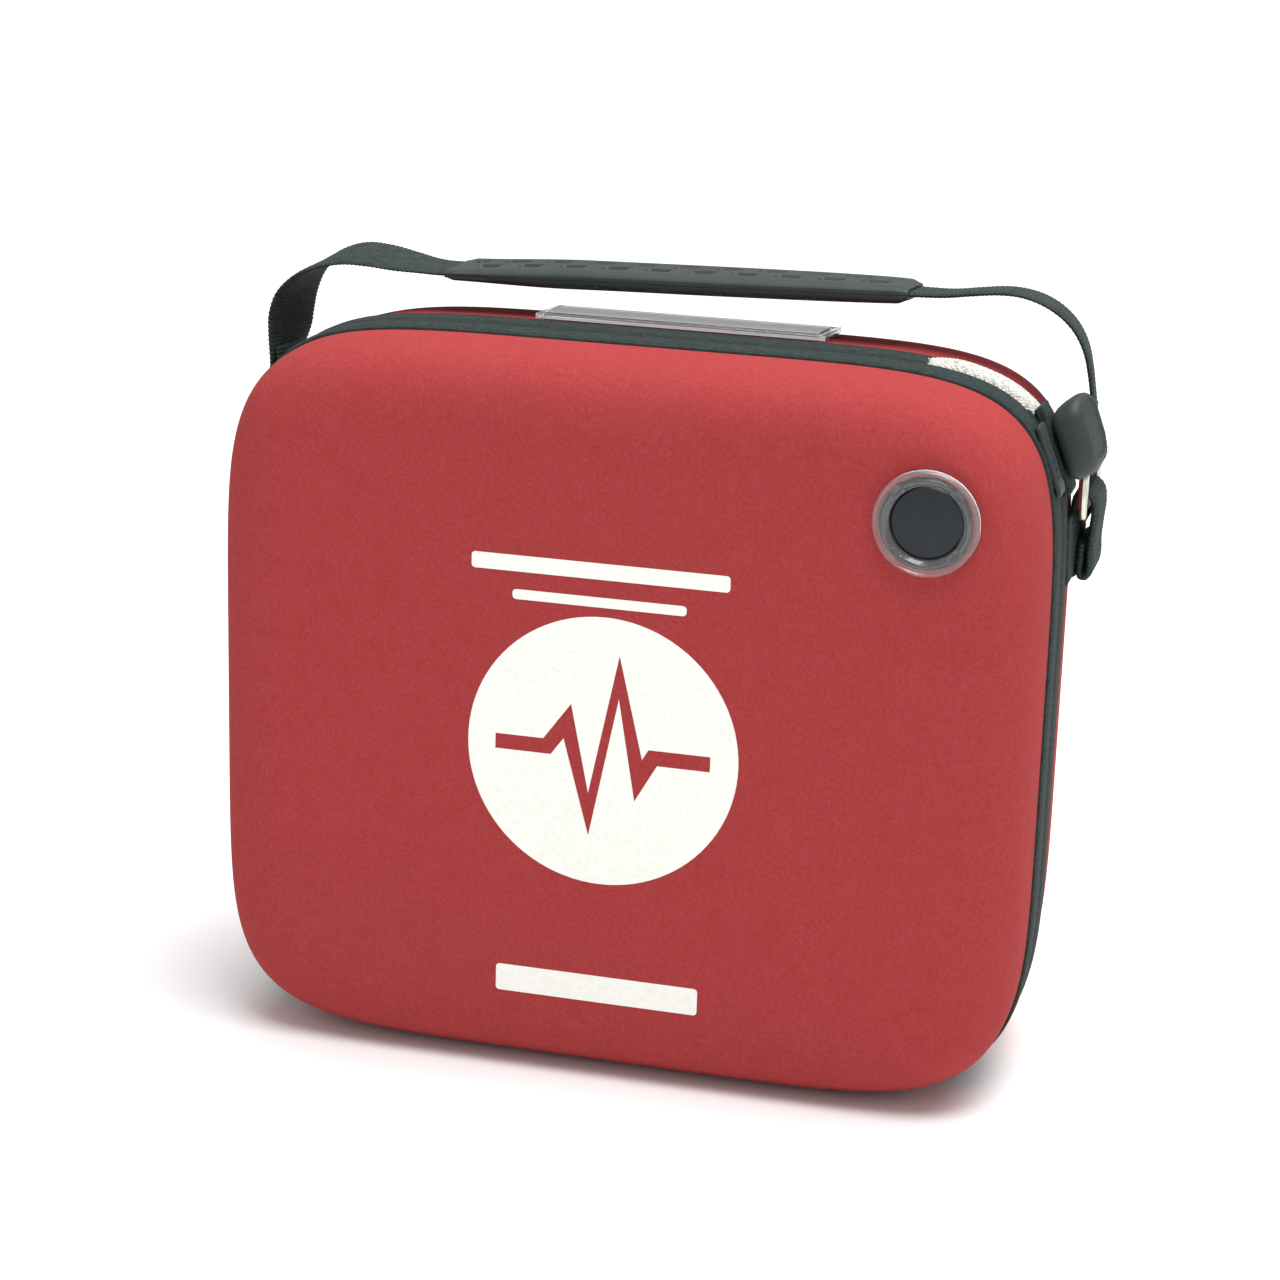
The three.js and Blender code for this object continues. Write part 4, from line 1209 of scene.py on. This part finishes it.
def makeTab():
    ys, rootYs = (tabLow.y, tabHigh.y), (tabRootLow.y, tabRootHigh.y)
    floor = tab["top"] - tab["dish"]
    profile = domed(tab["inside"], tab["under"], tab["top"], tab["edge"], 4)
    crest = profile[:-4] + [(tab["rim"], tab["top"]), (tab["rim"] + tab["rimSlope"], floor)]
    crest += [(tab["rim"] + step, floor) for step in tab["dishSteps"]]
    pad = wrapPad("closureTab", tab["turns"], ys, crest, tab["corner"], rubber, tab["lean"])
    fit(pad, "tab", "black_rubber", "closure_tab")
    profile = domed(4.2 * mm, tab["rest"], tab["rootTop"], 0.5 * mm, 4)
    root = wrapPad("tabRoot", tab["turns"], rootYs, profile, 1.6 * mm, rubber)
    fit(root, "lid", "black_rubber", "tab_root")
    profile = domed(5 * mm, tab["rest"], tab["patchTop"], 0.5 * mm, 4)
    patch = wrapPad("loopPatch", tab["patchTurns"], (patchLow.y, patchHigh.y), profile, 1.4 * mm, webbing)
    fit(patch, "base", "black_webbing", "loop_patch")
    middle = sum(tab["turns"]) / 2
    half = (tab["turns"][1] - tab["turns"][0]) / 2 * tab["stitchSpan"]
    y0, y1 = rootYs[0] + tab["stitchInset"], rootYs[1] - tab["stitchInset"]
    corners = [(middle - half, y0), (middle + half, y0), (middle + half, y1), (middle - half, y1)]
    line = []
    for (t0, a), (t1, b) in zip(corners, corners[1:] + corners[:1]):
        line += [outlinePoint(t0 + (t1 - t0) * i / 12, a + (b - a) * i / 12, tab["stitchOut"])
                 for i in range(12)]
    addStitchLine("lid", line, True)


makeTab()
print("closure tab is moulded")


# side loops: webbing folded three deep and sewn, with the ring's lower bar in the fold
loop = {
    "halfThick": 1.3 * mm,
    "spacing": 0.375 * mm,
    # x and z in mm for the right-hand loop, from the wall up, over the bar, down, under and up between
    "line": [
        (133.9, 164.6), (133.8, 170), (133.9, 176), (133.6, 181), (133.5, 186), (134.0, 190.2),
        (136.6, 192.1), (139.3, 190.0), (140.0, 185.5), (139.6, 180), (139.2, 174), (139.4, 169),
        (138.9, 165.6), (137.4, 164.5), (136.3, 166.0), (136.3, 170), (136.5, 175.6),
    ],
    "rib": 1.5 * mm,
    "ribRise": 0.05 * mm,
    "edgeRise": 0.18 * mm,
    "edgeInset": 0.2 * mm,
    "stitchOut": 0.05 * mm,
    "stitchBox": (3 * mm, 4 * mm, 11.5 * mm),      # in from the sides, up from the foot to its two ends
    "anchorTurns": (0.0361, 0.0536),
    "anchorTop": 1.7 * mm,
    "anchorOverlap": (1 * mm, 1.5 * mm),           # under the tape and under the loop
}
ring = {
    "wire": 1.6 * mm,        # radius
    "corner": 3.5 * mm,
    "sides": 20,
}


def makeSideLoops():
    for label, side in (("Left", -1), ("Right", 1)):
        node = "side_loop_" + label.lower()
        low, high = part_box(node)
        line = [(side * x, z, 0) for x, z in loop["line"]]
        frames = ribbonFrames(line, (low.y + high.y) / 2, loop["spacing"])
        halfWidth = (high.y - low.y) / 2 - loop["edgeInset"]
        rings = ribbonRings(frames, halfWidth, loop["halfThick"], loop["spacing"], loop)
        points, faces, corners = sweep(rings)
        obj = makePiece("sideLoop" + label, points, faces, [webbing], corners, None, 50)
        fit(obj, "base", "black_webbing", node)
        outer = max(abs(low.x), abs(high.x)) + loop["stitchOut"]
        inset, foot, top = loop["stitchBox"]
        a, b, c, d = (Vector((side * outer, y, z)) for y, z in (
            (low.y + inset, low.z + foot), (high.y - inset, low.z + foot),
            (high.y - inset, low.z + top), (low.y + inset, low.z + top)))
        addStitchLine("base", [a, b, c, d], True)
        addStitchLine("base", [a, c])
        addStitchLine("base", [d, b])


def makeLoopAnchors():
    # a flat length of the same webbing joins each loop to the tape
    profile = domed(2.5 * mm, 0.15 * mm, loop["anchorTop"], 0.5 * mm, 4)
    start, end = loop["anchorTurns"]
    for label, turns in (("Left", (0.5 - end, 0.5 - start)), ("Right", (start, end))):
        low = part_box("side_loop_" + label.lower())[0]
        ys = (rearBandHigh.y - loop["anchorOverlap"][0], low.y + loop["anchorOverlap"][1])
        fit(wrapPad("loopAnchor" + label, turns, ys, profile, 0.8 * mm, webbing), "base", "black_webbing")


def makeRings():
    for label in ("Left", "Right"):
        node = "strap_ring_" + label.lower()
        low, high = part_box(node)
        x, r, c = (low.x + high.x) / 2, ring["wire"], ring["corner"]
        y0, y1, z0, z1 = low.y + r + c, high.y - r - c, low.z + r + c, high.z - r - c
        rings = []
        for quarter, (y, z) in enumerate(((y1, z1), (y0, z1), (y0, z0), (y1, z0))):
            for i in range(9):
                angle = (quarter + i / 8) * math.pi / 2
                out = Vector((0, math.cos(angle), math.sin(angle)))
                middle = Vector((x, y, z)) + out * c
                turns = [k / ring["sides"] * tau for k in range(ring["sides"])]
                rings.append([middle + out * (r * math.cos(t)) + Vector((r * math.sin(t), 0, 0))
                              for t in turns])
        points, faces, corners = sweep(rings, True)
        obj = makePiece("strapRing" + label, points, faces, [nickelPlate], corners, None, 60)
        fit(obj, "handle", "nickel", node)


makeSideLoops()
makeLoopAnchors()
makeRings()
print("rings and side loops are in place")


# fabric hinge: one tape sewn to both halves, across where they meet
hinge = {
    "turns": (0.44, 0.12),         # where it starts, in turns from +X, and how far it runs
    "stitchTurns": (0.442, 0.116),
    "inner": case["bulge"] + 0.15 * mm,
    "outer": case["bulge"] + 0.95 * mm,
    "edgeDrop": 0.3 * mm,
    "across": 44,
    "foldHalf": 2.0 * mm,
    "stitchInset": 1.6 * mm,
}


def makeHingeTape():
    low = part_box("hinge_leaf_lid")[0]
    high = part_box("hinge_leaf_base")[1]
    across, outer = hinge["across"], hinge["outer"]
    start, run = hinge["turns"]
    ys = [low.y + (high.y - low.y) * i / across for i in range(across + 1)]
    section = [(y, outer - (hinge["edgeDrop"] if i in (0, across) else 0)) for i, y in enumerate(ys)]
    section += [(y, hinge["inner"]) for y in reversed(ys)]
    rings = [[outlinePoint(start + run * i / 90, y, offset) for y, offset in section] for i in range(91)]
    points, faces, corners = sweep(rings)
    obj = makePiece("hingeTape", points, faces, [bindingTape], corners)
    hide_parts("hinge_leaf_lid", "hinge_leaf_base")
    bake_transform(obj)
    start, run = hinge["stitchTurns"]
    for body, y in (("lid", low.y + hinge["stitchInset"]), ("base", high.y - hinge["stitchInset"])):
        addStitchLine(body, [outlinePoint(start + run * i / 80, y, outer) for i in range(81)])


makeHingeTape()


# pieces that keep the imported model's shape, with their edges rounded and a finish
def dress(node, name, mat, slotName, bevel=0.4 * mm, segments=2, sharp=40):
    source = frame["nodes"][node]
    obj = bpy.data.objects.new(name, source.data.copy())
    bpy.context.scene.collection.objects.link(obj)
    obj.data.materials.clear()
    obj.data.materials.append(mat)
    work = bmesh.new()
    work.from_mesh(obj.data)
    bmesh.ops.remove_doubles(work, verts=work.verts, dist=0.01 * mm)
    bmesh.ops.dissolve_limit(work, angle_limit=math.radians(0.5), verts=work.verts, edges=work.edges)
    work.to_mesh(obj.data)
    work.free()
    if bevel:
        modifier = obj.modifiers.new("edges", "BEVEL")
        modifier.width = bevel
        modifier.segments = segments
        modifier.limit_method = "ANGLE"
        modifier.angle_limit = math.radians(40)
        modifier.use_clamp_overlap = True
        bakeModifiers(obj)
    tidyMesh(obj, sharp, 0.0, False)
    return fit(obj, source["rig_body"], slotName, node)


dress("window_clip", "windowClip", clearPlastic, "clear_plastic", 0.3 * mm)
dress("guide_card", "guideCard", whiteCard, "card", 0.1 * mm)
dress("guide_pocket", "guidePocket", clearPlastic, "clear_plastic", 0.25 * mm)
dress("label_holder", "labelHolder", clearPlastic, "clear_plastic", 0.25 * mm)
dress("label_card", "labelCard", whiteCard, "card", 0)
dress("label_cover", "labelCover", clearPlastic, "clear_plastic", 0)
dress("foam_tray", "foamTray", foam, "foam", 1.2 * mm)
dress("back_pad", "backPad", foam, "foam", 1.5 * mm)
dress("unit_front_case", "unitFrontCase", greyAbs, "unit_plastic", 0.5 * mm)
dress("unit_rear_case", "unitRearCase", darkAbs, "unit_dark_plastic", 0.5 * mm)
dress("unit_gasket", "unitGasket", rubber, "part_black", 0.3 * mm)
dress("power_button", "powerButton", greenPlastic, "signal_green", 0.5 * mm, 3)
dress("info_button", "infoButton", bluePlastic, "signal_blue", 0.5 * mm, 3)
dress("shock_button", "shockButton", orangePlastic, "signal_orange", 0.5 * mm, 3)
dress("ready_light", "readyLight", smokedLens, "dark_lens", 0.5 * mm, 3)
dress("speaker", "speaker", blackSleeve, "part_black", 0.4 * mm)
dress("cartridge_bay", "cartridgeBay", darkAbs, "unit_dark_plastic", 0.4 * mm)
dress("pads_cartridge", "padsCartridge", greyAbs, "unit_plastic", 0.8 * mm, 3)
dress("cartridge_pull", "cartridgePull", greenPlastic, "signal_green", 0.4 * mm)
dress("main_board", "mainBoard", solderMask, "board", 0.1 * mm)
dress("capacitor", "capacitor", blackSleeve, "part_black", 1.0 * mm, 3)
dress("coil", "coil", copperWire, "copper_wire", 0.6 * mm)
dress("battery_pack", "batteryPack", darkAbs, "unit_dark_plastic", 0.8 * mm)
dress("battery_latch", "batteryLatch", greyAbs, "unit_plastic", 0.4 * mm)
for i in range(4):
    dress(f"unit_screw_{i + 1}", f"unitScrew{i + 1}", zincPlate, "steel", 0.3 * mm)
print("unit and foam are dressed")


# plain printed shapes: six picture panels on the guide card and a sign on each key
signs = {
    "columns": (-70, -22, 26),      # mm
    "rows": (86.5, 137.5),
    "panel": (44, 46, 2.0),         # width, height and corner
    "head": (9, 8),                 # a round gap this far above the panel's middle, and its radius
    "line": (-10, 24, 5),           # and a bar-shaped one: height, length and width
    "lift": 0.08 * mm,
    "sunk": 0.2 * mm,
    "bolt": [(1.2, 7.5), (-5.2, -1.2), (-0.8, -1.2), (-1.8, -7.5), (5.2, 1.4), (0.8, 1.4)],
    "powerRing": (5.6, 4.0),
    "infoDot": 2.4,
}


def makeSigns():
    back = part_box("guide_card")[1].y
    lift = signs["lift"]
    up, radius = signs["head"]
    drop, length, width = signs["line"]
    number = 1
    for x in signs["columns"]:
        for z in signs["rows"]:
            loops = [barOutline(x, z, *signs["panel"]), circleOutline(x, z + up, radius, 40),
                     barOutline(x, z + drop, length, width)]
            plate = flatPlate(f"guidePanel{number}", loops, back - lift / 2, back + lift, blueCard)
            fit(plate, "lid", "card")
            number += 1
    for node, body, name in (("power_button", "power_key", "powerSign"),
                             ("info_button", "info_key", "infoSign"),
                             ("shock_button", "shock_key", "shockSign")):
        low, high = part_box(node)
        x, z = (low.x + high.x) / 2 / mm, (low.z + high.z) / 2 / mm
        if name == "powerSign":
            loops = [circleOutline(x, z, edge, 48) for edge in signs["powerRing"]]
        elif name == "infoSign":
            loops = [circleOutline(x, z, signs["infoDot"], 32)]
        else:
            loops = [[Vector((x + a, z + b)) for a, b in signs["bolt"]]]
        plate = flatPlate(name, loops, low.y - lift, low.y + signs["sunk"], screenInk)
        fit(plate, body, "card")


makeSigns()


# kit pouch: packcloth round soft contents, swollen by a short cloth simulation, with a zip down its front
pouchLow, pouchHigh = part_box("kit_pouch")
pouch = {
    "voxel": 3 * mm,
    "inset": 2.2 * mm,       # the pouch starts this much smaller
    "cap": 2.6 * mm,         # and no point moves further than this
    "pressure": 4.0,
    "frames": 20,
    "edge": 6 * mm,          # radius of its rounded edges, and of its corners seen from the front
    "corner": 9 * mm,
    "zipPitch": 1.6 * mm,
    "tooth": (1.1 * mm, 1.2 * mm, 3.6 * mm),
    "zipOut": 0.3 * mm,      # the teeth stand this far in front of the cloth
    "zipInset": 16 * mm,
}


def swell(obj, settings):
    rest = [v.co.copy() for v in obj.data.vertices]
    cloth = obj.modifiers.new("cloth", "CLOTH")
    cloth.settings.use_pressure = True
    cloth.settings.uniform_pressure_force = settings["pressure"]
    cloth.settings.effector_weights.gravity = 0
    scene = bpy.context.scene
    cloth.point_cache.frame_end = settings["frames"]
    for step in range(1, settings["frames"] + 1):
        scene.frame_set(step)
    bakeModifiers(obj)
    for v, start in zip(obj.data.vertices, rest):
        move = v.co - start
        if move.length > settings["cap"]:
            v.co = start + move.normalized() * settings["cap"]
    scene.frame_set(1)


def makePouch():
    middle = (pouchLow + pouchHigh) / 2
    half = (pouchHigh - pouchLow) / 2 - Vector((1, 1, 1)) * pouch["inset"]
    angles = [a / 8 * math.pi / 2 for a in range(9)]
    profile = [(half.y * math.sin(a), pouch["edge"] * (1 - math.cos(a))) for a in angles]
    sections = [(-h, inset) for h, inset in reversed(profile)] + profile[1:]
    rings = [[middle + Vector((a, y, b))
              for a, b in roundedLoop(half.x - inset, half.z - inset, pouch["corner"])]
             for y, inset in sections]
    points, faces, _ = sweep(rings)
    obj = makePiece("kitPouch", points, faces, [packcloth])
    remesh = obj.modifiers.new("voxels", "REMESH")
    remesh.mode = "VOXEL"
    remesh.voxel_size = pouch["voxel"]
    bakeModifiers(obj)
    swell(obj, pouch)
    smooth = obj.modifiers.new("smooth", "SUBSURF")
    smooth.levels = 1
    smooth.render_levels = 1
    bakeModifiers(obj)
    obj.data.materials.clear()
    obj.data.materials.append(packcloth)
    tidyMesh(obj, 60)
    fit(obj, "base", "pouch_fabric", "kit_pouch")
    front = min(v.co.y for v in obj.data.vertices)
    ends = (pouchLow.z + pouch["zipInset"], pouchHigh.z - pouch["zipInset"])
    zipLine = [Vector((middle.x, front - pouch["zipOut"], z)) for z in ends]
    length, width, height = pouch["tooth"]
    makeRow("kitPouchZip", [zipLine], toothTree, {
        "Pitch": pouch["zipPitch"], "Length": length, "Width": width, "Height": height,
        "Material": blackSleeve,
    }, "base", "part_black")


makePouch()
print("kit pouch is filled")


# every seam's stitches, one piece for each body
for body, lines in stitchLines.items():
    makeRow(body + "Stitches", lines, stitchTree, {
        "Pitch": stitch["pitch"], "Length": stitch["length"], "Width": stitch["thread"],
        "Height": stitch["thread"], "Material": thread,
    }, body, "black_binding")
print("seams are stitched")


floorMesh = bpy.data.meshes.new("floor")
half = light["floorSize"] / 2
floorCorners = [(-half, -half, 0), (half, -half, 0), (half, half, 0), (-half, half, 0)]
floorMesh.from_pydata(floorCorners, [], [(0, 1, 2, 3)])
floorMesh.materials.append(makeFloor())
floor = bpy.data.objects.new("floor", floorMesh)
bpy.context.scene.collection.objects.link(floor)
